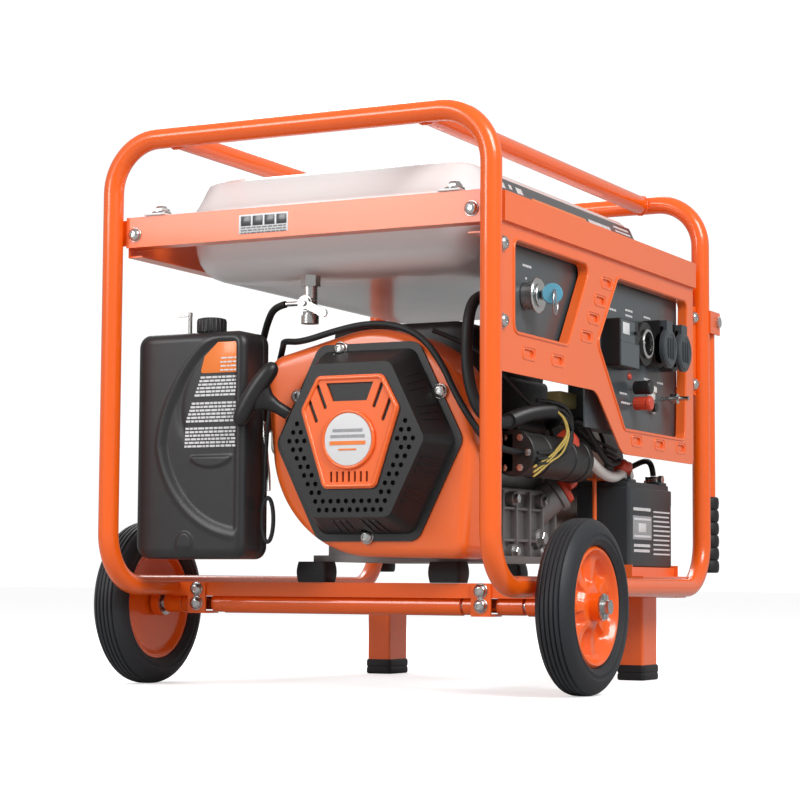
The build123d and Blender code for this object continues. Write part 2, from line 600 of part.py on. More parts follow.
with BuildPart() as cylinder:
    for reach in range(102, 186, 12):
        with BuildSketch(Plane(origin=along_cylinder(reach), x_dir=(1, 0, 0), z_dir=cylinder_run)):
            RectangleRounded(112, 118, 8)
        extrude(amount=5)
    with BuildSketch(Plane(origin=along_cylinder(101), x_dir=(1, 0, 0), z_dir=cylinder_run)):
        RectangleRounded(92, 96, 8)
    extrude(amount=88)
cylinder.part.label = "cylinder"
export_step(cylinder.part, "parts/cylinder.step")

with BuildPart() as rocker_cover:
    with BuildSketch(Plane(origin=along_cylinder(189.2), x_dir=(1, 0, 0), z_dir=cylinder_run)):
        RectangleRounded(96, 88, 12)
    extrude(amount=26)
rocker_cover.part.label = "rocker_cover"
export_step(rocker_cover.part, "parts/rocker_cover.step")

blower_x0, blower_x1, blower_wall = recoil_flange_x, -213, 1.5
with BuildPart() as blower_housing:
    with BuildSketch(plane_end.offset(blower_x0)):
        Circle(138)
        with Locations((116, 80)):
            Circle(32)
        with Locations((-108, -120)):
            Circle(20)
        make_hull()
    extrude(amount=blower_x1 - blower_x0)
    offset(amount=-blower_wall, openings=blower_housing.faces().sort_by(Axis.X)[-1])
    rod((blower_x0 - 1, crank_y, crank_z), (blower_x0 + 4, crank_y, crank_z), 104, Mode.SUBTRACT)
    bolt_holes()
blower_housing.part.label = "blower_housing"
export_step(blower_housing.part, "parts/blower_housing.step")

# Recoil cover: a hexagon with flat top and bottom, drawn in towards its face.
face_hex = [(98, 0), (52, 92), (-52, 92), (-98, 0), (-52, -92), (52, -92)]
wall_grow, flange_grow, cover_wall = 1.22, 1.3, 2.5
insert_outline = [(-44, 77), (44, 77), (66, 37), (35, -58), (-35, -58), (-66, 37)]
hole_r, hole_pitch = 3, 10.4


def hexagon(scale, trim, corner):
    """Draws the cover's rounded hexagon, scaled and then drawn in by trim."""
    with BuildSketch(mode=Mode.PRIVATE) as outline:
        with BuildLine():
            Polyline(*[(scale * u, scale * v) for u, v in face_hex], close=True)
        make_face()
        offset(amount=-trim, kind=Kind.INTERSECTION)
        fillet(outline.vertices(), corner)
    return outline.sketch


def insert_half_width(v):
    """Half the insert's width at this height on the cover."""
    if v > 37:
        return 66 - (v - 37) * 22 / 40
    return 35 + (v + 58) * 31 / 95


perforations = []
for row in range(-8, 5):
    v = row * hole_pitch
    for column in range(-9, 10):
        u = (column + 0.5 * (row % 2)) * hole_pitch
        in_face = abs(v) < 84 and abs(u) + 0.5 * abs(v) < 87
        by_insert = v > -68 and abs(u) < insert_half_width(v) + 7
        if in_face and not by_insert:
            perforations.append((u, v))

guide = Vector(-328, 30, 335)
pull = Vector(-0.5, 0.7, 0.5).normalized()
post_r = 8
with BuildPart() as recoil_cover:
    with BuildSketch(plane_end.offset(recoil_flange_x)):
        add(hexagon(wall_grow, 0, 16))
    with BuildSketch(plane_end.offset(recoil_face_x)):
        add(hexagon(1, 0, 12))
    loft()
    with BuildSketch(plane_end.offset(recoil_flange_x)):
        add(hexagon(wall_grow, cover_wall, 14))
    with BuildSketch(plane_end.offset(recoil_face_x + cover_wall)):
        add(hexagon(1, cover_wall, 10))
    loft(mode=Mode.SUBTRACT)
    with BuildSketch(plane_end.offset(recoil_flange_x - 3)):
        add(hexagon(flange_grow, 0, 18))
        add(hexagon(wall_grow, cover_wall + 1, 14), mode=Mode.SUBTRACT)
    extrude(amount=3)
    rod(tuple(guide - pull * 5), tuple(guide), 10)
    rod(tuple(guide - pull * 9), tuple(guide + pull), 4, Mode.SUBTRACT)
    for y, z in recoil_bolts:
        rod((recoil_flange_x - 24, y, z), (recoil_flange_x - 3, y, z), 9, Mode.SUBTRACT)
    rod((recoil_face_x + cover_wall - 0.5, crank_y, crank_z), (-320, crank_y, crank_z), post_r)
    with BuildSketch(plane_end.offset(recoil_face_x)):
        with Locations(*perforations):
            Circle(hole_r)
    extrude(amount=cover_wall + 1, mode=Mode.SUBTRACT)
    bolt_holes()
recoil_cover.part.label = "recoil_cover"
export_step(recoil_cover.part, "parts/recoil_cover.step")

with BuildPart() as recoil_insert:
    with BuildSketch(plane_end.offset(recoil_face_x - 3)) as insert_sketch:
        with BuildLine():
            Polyline(*insert_outline, close=True)
        make_face()
        fillet(insert_sketch.vertices(), 9)
        with BuildLine():
            Polyline((-32, 68), (32, 68), (23, 46), (-23, 46), close=True)
        make_face(mode=Mode.SUBTRACT)
        for u in range(-24, 25, 8):
            with Locations((u, -44)):
                SlotOverall(13, 3, rotation=90, mode=Mode.SUBTRACT)
        for side in (-1, 1):
            for u, v in ((38, 52), (50, 36)):
                with Locations((side * u, v)):
                    SlotOverall(32, 5, rotation=side * -112, mode=Mode.SUBTRACT)
    extrude(amount=2.98)
    rod((recoil_face_x - 5, crank_y, crank_z), (recoil_face_x - 3, crank_y, crank_z), 33)
recoil_insert.part.label = "recoil_insert"
export_step(recoil_insert.part, "parts/recoil_insert.step")

pulley_r, pulley_x0, pulley_x1 = 52, -338, -322
with BuildPart() as recoil_pulley:
    rod((pulley_x0, crank_y, crank_z), (pulley_x1, crank_y, crank_z), pulley_r)
    with BuildSketch(plane_end.offset(pulley_x0 + 4)):
        Circle(pulley_r + 1)
        Circle(pulley_r - 8, mode=Mode.SUBTRACT)
    extrude(amount=pulley_x1 - pulley_x0 - 8, mode=Mode.SUBTRACT)
    ends = [(x, crank_y, crank_z) for x in (pulley_x0 - 1, pulley_x1 + 1)]
    rod(*ends, post_r + running, Mode.SUBTRACT)
recoil_pulley.part.label = "recoil_pulley"
export_step(recoil_pulley.part, "parts/recoil_pulley.step")

grip_across = Vector(0.1, -0.53, 0.84).normalized()
grip_middle = guide + pull * 50
with BuildPart() as starter_grip:
    rod(tuple(guide + pull * 1), tuple(grip_middle), 7.5)
    rod(tuple(grip_middle - grip_across * 45), tuple(grip_middle + grip_across * 45), 11)
    fillet(starter_grip.edges().filter_by(GeomType.CIRCLE).filter_by(lambda edge: edge.radius > 10), 5)
starter_grip.part.label = "starter_grip"
export_step(starter_grip.part, "parts/starter_grip.step")

starter_y, starter_z, starter_r = -212, 290, 27
with BuildPart() as starter_motor:
    rod((-204, starter_y, starter_z), (-14, starter_y, starter_z), starter_r)
    rod((-14, starter_y, starter_z), (-8, starter_y, starter_z), starter_r - 8)
    bar(-206, -198, starter_y, -150, starter_z - 22, starter_z + 22)
    rod((-30, starter_y, starter_z + 20), (-30, starter_y, starter_z + 40), 6)
    rod((-240, crank_y, crank_z), (40, crank_y, crank_z), 100 + weld_gap, Mode.SUBTRACT)
starter_motor.part.label = "starter_motor"
export_step(starter_motor.part, "parts/starter_motor.step")

with BuildPart() as engine_mounts:
    for x, y in ((-217, 52), (-217, -132), (rear_cross_x, crank_y - 62), (rear_cross_x, crank_y + 62)):
        bar(x - 15, x + 15, y - 20, y + 20, cross_top + 0.05, 157.95)
engine_mounts.part.label = "engine_mounts"
export_step(engine_mounts.part, "parts/engine_mounts.step")

air_x0, air_x1, air_back = -338, -285, -281
air_y0, air_y1, air_z0, air_z1 = 88, 247, 160, 441
intake_y, intake_z, intake_r = 120, 374, 16
with BuildPart() as carburettor:
    rod((air_back + 0.1, intake_y, intake_z), (throw_x - 56.2, intake_y, intake_z), intake_r)
    bar(-262, -216, intake_y - 21, intake_y + 21, intake_z - 26, intake_z + 22)
    rod((-240, intake_y, intake_z - 52), (-240, intake_y, intake_z - 26), 19)
carburettor.part.label = "carburettor"
export_step(carburettor.part, "parts/carburettor.step")

knob_x, knob_y, knob_r = -312, 152, 19
choke_x, choke_y = -318, 180
with BuildPart() as air_cleaner_cover:
    bar(air_x0, air_x1, air_y0, air_y1, air_z0, air_z1)
    fillet(air_cleaner_cover.edges().filter_by(Axis.X), 16)
    fillet(air_cleaner_cover.faces().sort_by(Axis.X)[0].edges(), 12)
    offset(amount=-2.5, openings=air_cleaner_cover.faces().sort_by(Axis.X)[-1])
    rod((knob_x, knob_y, air_z1 - 6), (knob_x, knob_y, air_z1 + 2), 4 + running, Mode.SUBTRACT)
    rod((choke_x, choke_y, air_z1 - 6), (choke_x, choke_y, air_z1 + 2), 2.5 + running, Mode.SUBTRACT)
air_cleaner_cover.part.label = "air_cleaner_cover"
export_step(air_cleaner_cover.part, "parts/air_cleaner_cover.step")

with BuildPart() as air_cleaner_base:
    bar(air_x1 + 0.02, air_back, air_y0, air_y1, air_z0, air_z1)
    fillet(air_cleaner_base.edges().filter_by(Axis.X), 16)
air_cleaner_base.part.label = "air_cleaner_base"
export_step(air_cleaner_base.part, "parts/air_cleaner_base.step")

with BuildPart() as air_cleaner_knob:
    rod((knob_x, knob_y, air_z1 + 0.4), (knob_x, knob_y, air_z1 + 19), knob_r)
    rod((knob_x, knob_y, air_z1 - 8), (knob_x, knob_y, air_z1 + 1), 4)
    with BuildSketch(Plane((knob_x, knob_y, air_z1 + 4))):
        with PolarLocations(knob_r, 14):
            Circle(1.6)
    extrude(amount=15, mode=Mode.SUBTRACT)
air_cleaner_knob.part.label = "air_cleaner_knob"
export_step(air_cleaner_knob.part, "parts/air_cleaner_knob.step")

with BuildPart() as choke_lever:
    rod((choke_x, choke_y, air_z1 - 10), (choke_x, choke_y, air_z1 + 27), 2.5)
    bar(choke_x - 2, choke_x + 2, choke_y - 2, choke_y + 17, air_z1 + 22, air_z1 + 26)
choke_lever.part.label = "choke_lever"
export_step(choke_lever.part, "parts/choke_lever.step")

with BuildPart() as muffler:
    bar(-36, 126, 112, 226, 300, 430)
    fillet(muffler.edges().filter_by(Axis.X), 24)
    rod((throw_x + 56.2, 128, 378), (-36, 128, 378), 13)
    rod((100, 226, 340), (100, 240, 330), 12)
muffler.part.label = "muffler"
export_step(muffler.part, "parts/muffler.step")

# ---- held hose and cables --------------------------------------------------


def tangent_radii(points):
    """Arc radius at each corner: 0.45 of the shorter run over tan of half the turn."""
    radii = []
    for before, corner, after in zip(points, points[1:], points[2:]):
        run_in = Vector(*corner) - Vector(*before)
        run_out = Vector(*after) - Vector(*corner)
        half_turn = radians(run_in.get_angle(run_out)) / 2
        radii.append(0.45 * min(run_in.length, run_out.length) * cos(half_turn) / sin(half_turn))
    return radii


arch_route = [
    (-232, 104, 397.5),
    (-236, 98, 410),
    (-258, 80, 428),
    (-288, 62, 430),
    (-306, 28, 425),
    (-306, -20, 437),
    (-306, -62, 444),
    (-306, -104, 441),
    (-306, -140, 424),
    (-306, -166, 390),
    (-306, -182, 356),
    (-306, -204, 322),
    (-292, -215, 300),
    (-250, -222, 290),
    (-206, -222, 290),
]
sheath_route = [
    (-250, -221, 474),
    (-252, -206, 476),
    (-275, -198, 474),
    (-302, -200, 458),
    (-311, -200, 425),
    (-311, -200, 390),
    (-311, -205, 358),
    (-308, -216, 330),
    (-284, -230, 318),
    (-262, -232, 324),
]
loom_route = [
    (-262, -232, 324),
    (-232, -233, 332),
    (-180, -232, 341),
    (-120, -230, 347),
    (-78, -220, 343),
    (-48, -192, 338),
    (-43, -170, 336),
]
red_lead_route = [
    (-30, -212, 331.5),
    (-27, -214, 342),
    (-6, -220, 344),
    (28, -223, 318),
    (72, -224, 290),
    (108, -223, 292),
    (128, -221, 300),
    (135, -221, 283.5),
]
black_lead_route = [
    (252, -221, 283.5),
    (254, -219, 298),
    (264, -206, 306),
    (262, -188, 298),
    (248, -170, 286),
]
fuel_hose_route = [
    (-286, 61, 476),
    (-284, 78, 474),
    (-270, 96, 458),
    (-254, 112, 436),
    (-246, 124, 414),
    (-244, 126, 398),
]
drain_route = [(-304, 72, 350), (-307, 74, 310), (-308, 75, 262), (-306, 76, 232), (-306, 83.5, 219)]
flexible_lines = [
    (arch_route, 4),
    (sheath_route, 7),
    (loom_route, 10),
    (red_lead_route, 4),
    (black_lead_route, 4),
    (fuel_hose_route, 4.5),
    (drain_route, 2.5),
]
with BuildPart() as hoses_and_leads:
    for points, line_r in flexible_lines:
        print("bend radii over", line_r, [round(r) for r in tangent_radii(points)])
        with BuildLine() as route:
            FilletPolyline(*points, radius=tangent_radii(points))
        with BuildSketch(Plane(origin=route.line @ 0, z_dir=route.line % 0)):
            Circle(line_r)
        sweep(path=route.line)
hoses_and_leads.part.label = "hoses_and_leads"
export_step(hoses_and_leads.part, "parts/hoses_and_leads.step")
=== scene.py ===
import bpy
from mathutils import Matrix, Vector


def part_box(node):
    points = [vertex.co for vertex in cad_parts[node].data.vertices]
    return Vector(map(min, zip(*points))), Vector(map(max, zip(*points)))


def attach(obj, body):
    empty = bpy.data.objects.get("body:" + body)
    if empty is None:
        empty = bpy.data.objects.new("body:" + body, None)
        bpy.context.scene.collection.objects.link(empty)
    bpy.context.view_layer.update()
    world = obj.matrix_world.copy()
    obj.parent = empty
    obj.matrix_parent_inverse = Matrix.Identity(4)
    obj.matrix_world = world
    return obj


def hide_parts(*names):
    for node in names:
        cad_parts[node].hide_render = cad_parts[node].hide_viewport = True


bl_info = {
    "name": "Open-frame generator",
    "version": (1, 0, 0),
    "blender": (4, 5, 0),
    "location": "3D View > Sidebar > Generator",
    "description": "Dresses the packed generator with its moulded, painted and rubber parts",
    "category": "Object",
}

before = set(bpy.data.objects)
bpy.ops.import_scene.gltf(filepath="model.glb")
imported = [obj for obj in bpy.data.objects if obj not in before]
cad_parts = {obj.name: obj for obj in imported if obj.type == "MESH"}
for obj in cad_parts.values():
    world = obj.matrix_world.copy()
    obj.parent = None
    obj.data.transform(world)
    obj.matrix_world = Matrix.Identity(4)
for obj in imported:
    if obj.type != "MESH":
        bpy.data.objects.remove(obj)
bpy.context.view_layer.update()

from math import cos, pi, radians, sin

import bmesh
import bpy
import numpy as np
from bpy.props import FloatProperty, FloatVectorProperty, IntProperty, PointerProperty
from mathutils import Matrix, Vector

MM = 0.001


def middle(node):
    """The middle of a CAD node's box, in millimetres."""
    low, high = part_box(node)
    return np.array((low + high) / 2) / MM


def corner(node, which):
    """The lowest (0) or highest (1) corner of a CAD node's box, in millimetres."""
    return np.array(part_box(node)[which]) / MM


def box_corners(node):
    """Both corners of a CAD node's box, the lowest first, in millimetres."""
    return corner(node, 0), corner(node, 1)


def full_turn(steps):
    """Angles in even steps around a full turn."""
    return np.linspace(0, 2 * pi, steps, endpoint=False)


def unit(vector):
    """The vector's direction, one long."""
    vector = np.asarray(vector, float)
    return vector / np.linalg.norm(vector)


CRANK = middle("recoil_insert") * (0, 1, 1)
CRANK[1:] = middle("recoil_pulley")[1:]
RECOIL_FACE = corner("recoil_insert", 0)[0] + 5
POST_R = 12.7
FRONT_POST_X = corner("front_hoop", 0)[0] + POST_R
REAR_POST_X = corner("rear_hoop", 1)[0] - POST_R
TOP_Z = corner("rear_hoop", 1)[2] - POST_R
FASCIA_Y = -264.0
PLATE_Y = -248.0
EAR_Y = 203
STARTER_Y, STARTER_Z = -212, 290


# ---- grids and solids ------------------------------------------------------
class Shell:
    """Closed surfaces, each a grid of rings, gathered into one mesh. Millimetres."""

    def __init__(self):
        self.points, self.faces, self.count = [], [], 0

    def rings(self, grid, around=False):
        """Adds rings of points (ring, place, 3): each ring is closed, and the ends are capped,
        or the last ring joins the first when the shape goes all the way around."""
        grid = np.asarray(grid, float)
        rows, columns = grid.shape[:2]
        row, column = np.meshgrid(np.arange(rows if around else rows - 1), np.arange(columns), indexing="ij")
        row, column = row.ravel(), column.ravel()
        next_row, next_column = (row + 1) % rows, (column + 1) % columns
        quads = np.stack(
            [row * columns + column, row * columns + next_column,
             next_row * columns + next_column, next_row * columns + column], -1)
        self.faces += (quads + self.count).tolist()
        if not around:
            first = np.arange(columns) + self.count
            self.faces += [first[::-1].tolist(), (first + (rows - 1) * columns).tolist()]
        self.points.append(grid.reshape(-1, 3))
        self.count += rows * columns

    def turned(self, profile, centre, axis, turns=40):
        """Adds a surface of revolution: profile rows are (radius, reach along the axis)."""
        profile = np.asarray(profile, float)
        along, across, side = axes(axis)
        angle = full_turn(turns)
        spoke = np.cos(angle)[:, None] * across + np.sin(angle)[:, None] * side
        self.rings(np.asarray(centre, float) + profile[:, :1, None] * spoke + profile[:, 1:, None] * along)

    def slab(self, ring_of, profile, plane, relief=None):
        """Adds a block over an outline: at each (inset, height) of the profile the outline is
        drawn in by the inset and lifted by the height, plus the relief at that place."""
        rows = []
        for inset, height in profile:
            flat = ring_of(inset)
            lift = np.full(len(flat), float(height))
            if relief is not None:
                lift += relief(flat, inset)
            rows.append(plane(flat, lift))
        self.rings(rows)

    def tube(self, path, radius, sides=12):
        """Adds a round tube along a path: each ring stands square to the path."""
        path = np.asarray(path, float)
        run = np.gradient(path, axis=0)
        run /= np.linalg.norm(run, axis=1)[:, None]
        flat_normal = np.linalg.svd(path - path.mean(0))[2][-1]
        across = np.cross(run, flat_normal)
        across /= np.linalg.norm(across, axis=1)[:, None]
        side = np.cross(run, across)
        angle = full_turn(sides)
        radius = np.broadcast_to(radius, len(path))[:, None, None]
        ring = np.cos(angle)[None, :, None] * across[:, None] + np.sin(angle)[None, :, None] * side[:, None]
        self.rings(path[:, None] + radius * ring)

    def sticker(self, grid, normals, thick=0.4, sink=0.3):
        """Adds a thin solid over a grid of points, raised along their normals."""
        front, back = grid + normals * thick, grid - normals * sink
        loops = np.concatenate([front, back[::-1]], 0)
        self.rings(np.swapaxes(loops, 0, 1))

    def block(self, low, high, edge=1.5, steps=3):
        """Adds a box with rounded edges between two corners."""
        low, high = np.minimum(low, high).astype(float), np.maximum(low, high).astype(float)
        size = high - low
        edge = min(edge, size.min() * 0.45)
        centre = (low + high) / 2
        self.slab(
            rounded_rect(size[0], size[1], edge * 1.5, 3), rounded_edge(size[2], edge, steps),
            lambda flat, lift: np.column_stack([flat + centre[:2], low[2] + lift]))


def axes(direction):
    """Three unit vectors square to each other, the first along the direction."""
    along = unit(direction)
    helper = np.array((0, 0, 1.0)) if abs(along[2]) < 0.9 else np.array((1.0, 0, 0))
    across = unit(np.cross(helper, along))
    return along, across, np.cross(along, across)


def rounded_rect(length, width, radius, steps=8):
    """A function from an inset to the outline of a rounded rectangle: four quarter circles."""
    quarter = np.linspace(0, pi / 2, steps)

    def ring(inset):
        half_l, half_w = length / 2 - inset, width / 2 - inset
        r = min(max(radius - inset, radius * 0.25), half_l * 0.98, half_w * 0.98)
        turns = (np.arange(4)[:, None] * pi / 2 + quarter).ravel()
        centre_u = np.repeat([1, -1, -1, 1], steps) * (half_l - r)
        centre_v = np.repeat([1, 1, -1, -1], steps) * (half_w - r)
        return np.column_stack([centre_u + r * np.cos(turns), centre_v + r * np.sin(turns)])

    return ring


def rounded_edge(height, edge, steps=4):
    """A profile that leaves the floor, rises and rounds over with two quarter circles."""
    turn = np.linspace(0, pi / 2, steps)
    low = np.column_stack([edge * (1 - np.sin(turn)), edge * (1 - np.cos(turn))])
    high = np.column_stack([edge * (1 - np.cos(turn)), height - edge * (1 - np.sin(turn))])
    return np.concatenate([low, high])


def polygon_ring(corners, radius, steps=6):
    """A function from an inset to a polygon's outline with its corners rounded by arcs."""
    corners = np.asarray(corners, float)
    before = corners - np.roll(corners, 1, 0)
    after = np.roll(corners, -1, 0) - corners
    before /= np.linalg.norm(before, axis=1)[:, None]
    after /= np.linalg.norm(after, axis=1)[:, None]
    turn = np.arctan2(before[:, 0] * after[:, 1] - before[:, 1] * after[:, 0], (before * after).sum(1))
    way = np.sign(turn.sum())

    def ring(inset):
        left = np.column_stack([-before[:, 1], before[:, 0]]) * way
        bisect = after - before
        bisect /= np.linalg.norm(bisect, axis=1)[:, None]
        bend_in = np.sign(turn) * way
        centre = corners + bisect * (radius / np.cos(turn / 2))[:, None]
        r = np.maximum(radius - inset * bend_in, 0.2)
        part = np.linspace(0, 1, steps)
        start = np.arctan2(-left[:, 1] * bend_in, -left[:, 0] * bend_in)
        angle = start[:, None] + turn[:, None] * part
        ways = np.stack([np.cos(angle), np.sin(angle)], -1)
        return (centre[:, None] + r[:, None, None] * ways).reshape(-1, 2)

    return ring


def facing(axis, base, origin=(0, 0)):
    """A placing function: outlines stand on a plane square to an axis such as -X, lifted outwards."""
    sign, name = (-1, axis[1]) if axis[0] == "-" else (1, axis[0])
    row = "XYZ".index(name)

    def place(flat, lift):
        return np.insert(np.asarray(flat) + origin, row, base + sign * np.asarray(lift), axis=1)

    return place


def smooth_line(points):
    """The points of the NURBS line with these control points, in millimetres."""
    curve = bpy.data.curves.new("line", "CURVE")
    curve.dimensions = "3D"
    spline = curve.splines.new("NURBS")
    spline.points.add(len(points) - 1)
    spline.points.foreach_set("co", np.column_stack([points, np.ones(len(points))]).ravel())
    spline.order_u = 3
    spline.use_endpoint_u = True
    spline.resolution_u = 10
    holder = bpy.data.objects.new("line", curve)
    mesh = bpy.data.meshes.new_from_object(holder)
    line = np.zeros(len(mesh.vertices) * 3)
    mesh.vertices.foreach_get("co", line)
    bpy.data.objects.remove(holder)
    bpy.data.curves.remove(curve)
    bpy.data.meshes.remove(mesh)
    return line.reshape(-1, 3)


def even_line(points, pitch):
    """The smooth line again, with a point every pitch millimetres."""
    line = smooth_line(points)
    reach = np.concatenate([[0], np.cumsum(np.linalg.norm(np.diff(line, axis=0), axis=1))])
    places = np.linspace(0, reach[-1], max(int(reach[-1] / pitch), 3))
    return np.column_stack([np.interp(places, reach, line[:, k]) for k in range(3)])


def step_up(values, start, end):
    """A smooth rise from 0 at start to 1 at end."""
    t = np.clip((np.asarray(values) - start) / (end - start), 0, 1)
    return t * t * (3 - 2 * t)


def add_piece(name, shell, finish, body="frame", stands_for=(), sharp=35):
    """Makes one object of a shell's surfaces, welded and facing outwards, that rides on a body."""
    mesh = bpy.data.meshes.new(name)
    mesh.from_pydata((np.concatenate(shell.points) * MM).tolist(), [], shell.faces)
    work = bmesh.new()
    work.from_mesh(mesh)
    bmesh.ops.remove_doubles(work, verts=work.verts, dist=1e-6)
    bmesh.ops.dissolve_degenerate(work, edges=work.edges, dist=1e-7)
    bmesh.ops.recalc_face_normals(work, faces=work.faces)
    work.to_mesh(mesh)
    work.free()
    mesh.shade_smooth()
    mesh.set_sharp_from_angle(angle=radians(sharp))
    mesh.materials.append(FINISHES[finish]())
    piece = bpy.data.objects.new(name, mesh)
    bpy.context.scene.collection.objects.link(piece)
    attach(piece, body)
    if stands_for:
        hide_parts(*stands_for)
    return piece


# ---- effects that the materials share --------------------------------------
def new_group(name, inputs, outputs):
    """A shader node group with named float, colour and vector sockets."""
    group = bpy.data.node_groups.new(name, "ShaderNodeTree")
    kinds = {"f": "NodeSocketFloat", "c": "NodeSocketColor", "v": "NodeSocketVector"}
    for label, kind in inputs:
        group.interface.new_socket(label, in_out="INPUT", socket_type=kinds[kind])
    for label, kind in outputs:
        group.interface.new_socket(label, in_out="OUTPUT", socket_type=kinds[kind])
    return group, group.nodes.new("NodeGroupInput"), group.nodes.new("NodeGroupOutput")


def math_node(tree, operation, first, second=None, third=None, clamp=False):
    """A Math node's output, with numbers or sockets as its inputs."""
    node = tree.nodes.new("ShaderNodeMath")
    node.operation = operation
    node.use_clamp = clamp
    for place, value in enumerate((first, second, third)):
        if value is None:
            continue
        if isinstance(value, (int, float)):
            node.inputs[place].default_value = value
        else:
            tree.links.new(value, node.inputs[place])
    return node.outputs[0]


def noise_node(tree, vector, scale, detail=3.0):
    """A Noise Texture's value at this scale."""
    node = tree.nodes.new("ShaderNodeTexNoise")
    node.inputs["Detail"].default_value = detail
    tree.links.new(vector, node.inputs["Vector"])
    if isinstance(scale, (int, float)):
        node.inputs["Scale"].default_value = scale
    else:
        tree.links.new(scale, node.inputs["Scale"])
    return node.outputs["Fac"]


def tone_group():
    """Colour that varies a little over the surface, with smudges in the gloss and dust on top faces."""
    name = "surface tone"
    if name in bpy.data.node_groups:
        return bpy.data.node_groups[name]
    group, given, out = new_group(
        name,
        [("Vector", "v"), ("Colour", "c"), ("Roughness", "f"), ("Scale", "f"),
         ("Spread", "f"), ("Smudge", "f"), ("Dust", "f")],
        [("Colour", "c"), ("Roughness", "f")])
    broad = noise_node(group, given.outputs["Vector"], given.outputs["Scale"])
    fine_scale = math_node(group, "MULTIPLY", given.outputs["Scale"], 7.0)
    fine = noise_node(group, given.outputs["Vector"], fine_scale, 5.0)
    mix = math_node(group, "MULTIPLY_ADD", fine, 0.4, math_node(group, "MULTIPLY", broad, 0.6))
    centred = math_node(group, "SUBTRACT", mix, 0.5)
    value = math_node(group, "MULTIPLY_ADD", centred, given.outputs["Spread"], 1.0)
    tint = group.nodes.new("ShaderNodeHueSaturation")
    group.links.new(given.outputs["Colour"], tint.inputs["Color"])
    group.links.new(value, tint.inputs["Value"])
    shape = group.nodes.new("ShaderNodeNewGeometry")
    split = group.nodes.new("ShaderNodeSeparateXYZ")
    group.links.new(shape.outputs["Normal"], split.inputs[0])
    upward = math_node(group, "POWER", math_node(group, "MAXIMUM", split.outputs["Z"], 0.0), 3.0)
    settled = math_node(group, "MULTIPLY", math_node(group, "MULTIPLY", upward, fine), given.outputs["Dust"])
    film = group.nodes.new("ShaderNodeMix")
    film.data_type = "RGBA"
    film.inputs[7].default_value = (0.55, 0.53, 0.50, 1)
    group.links.new(settled, film.inputs[0])
    group.links.new(tint.outputs[0], film.inputs[6])
    group.links.new(film.outputs[2], out.inputs["Colour"])
    smudged = math_node(group, "MULTIPLY_ADD", centred, given.outputs["Smudge"], given.outputs["Roughness"])
    rough = math_node(group, "MULTIPLY_ADD", settled, 0.4, smudged, clamp=True)
    group.links.new(rough, out.inputs["Roughness"])
    return group


def grain_group():
    """The height of a moulded, cast or sprayed surface: fine cells over soft waves."""
    name = "surface grain"
    if name in bpy.data.node_groups:
        return bpy.data.node_groups[name]
    group, given, out = new_group(
        name, [("Vector", "v"), ("Scale", "f"), ("Cells", "f"), ("Waves", "f")], [("Height", "f")])
    cells = group.nodes.new("ShaderNodeTexVoronoi")
    cells.feature = "SMOOTH_F1"
    group.links.new(given.outputs["Vector"], cells.inputs["Vector"])
    group.links.new(given.outputs["Scale"], cells.inputs["Scale"])
    wave_scale = math_node(group, "MULTIPLY", given.outputs["Scale"], 0.3)
    waves = noise_node(group, given.outputs["Vector"], wave_scale, 2.0)
    height = math_node(group, "MULTIPLY", cells.outputs["Distance"], given.outputs["Cells"])
    total = math_node(group, "MULTIPLY_ADD", waves, given.outputs["Waves"], height)
    group.links.new(total, out.inputs["Height"])
    return group


def placed_group(material, group, **values):
    """Puts a group in a material with its own values."""
    node = material.node_tree.nodes.new("ShaderNodeGroup")
    node.node_tree = group
    for label, value in values.items():
        node.inputs[label].default_value = value
    return node


def finish_of(name, colour, rough, metallic=0.0, coat=0.0, grain=(900.0, 0.6, 0.4), depth=0.08,
              tone=(14.0, 0.10, 0.12, 0.05), stretch=(1, 1, 1), specular=0.5):
    """A material built from the shared effects, or the one of that name made before."""
    if name in bpy.data.materials:
        return bpy.data.materials[name]
    material = bpy.data.materials.new(name)
    material.use_nodes = True
    tree = material.node_tree
    shader = tree.nodes["Principled BSDF"]
    shader.inputs["Metallic"].default_value = metallic
    shader.inputs["Coat Weight"].default_value = coat
    shader.inputs["Coat Roughness"].default_value = 0.08
    shader.inputs["Specular IOR Level"].default_value = specular
    place = tree.nodes.new("ShaderNodeTexCoord")
    turned = tree.nodes.new("ShaderNodeMapping")
    turned.inputs["Scale"].default_value = stretch
    tree.links.new(place.outputs["Object"], turned.inputs["Vector"])
    surface = placed_group(
        material, tone_group(), Colour=(*colour, 1), Roughness=rough,
        Scale=tone[0], Spread=tone[1], Smudge=tone[2], Dust=tone[3])
    bumps = placed_group(material, grain_group(), Scale=grain[0], Cells=grain[1], Waves=grain[2])
    for node in (surface, bumps):
        tree.links.new(turned.outputs["Vector"], node.inputs["Vector"])
    tree.links.new(surface.outputs["Colour"], shader.inputs["Base Color"])
    tree.links.new(surface.outputs["Roughness"], shader.inputs["Roughness"])
    bump = tree.nodes.new("ShaderNodeBump")
    bump.inputs["Strength"].default_value = depth
    bump.inputs["Distance"].default_value = 0.0005
    tree.links.new(bumps.outputs["Height"], bump.inputs["Height"])
    tree.links.new(bump.outputs["Normal"], shader.inputs["Normal"])
    return material


def settings():
    """The sizes and colours in the sidebar."""
    return bpy.context.scene.generator


def powder_coat():
    """Glossy orange powder coat on the tubes: a soft orange-peel under a clear, hard gloss."""
    return finish_of("powder coat", tuple(settings().frame_colour), 0.26, coat=0.5,
                     grain=(420, 0.25, 0.9), depth=0.07, tone=(9, 0.08, 0.08, 0.02))


def sheet_paint():
    """Sprayed orange on the pressed sheet parts, a little flatter than the tubes; its colour is a little
    lighter and paler than the tubes', partly a second paint and partly painted reflection of the light on the
    sheet faces.
    """
    return finish_of("sheet paint with painted sheen", tuple(settings().sheet_colour_with_sheen), 0.30, coat=0.45,
                     grain=(520, 0.3, 0.8), depth=0.07, tone=(7, 0.09, 0.10, 0.03))


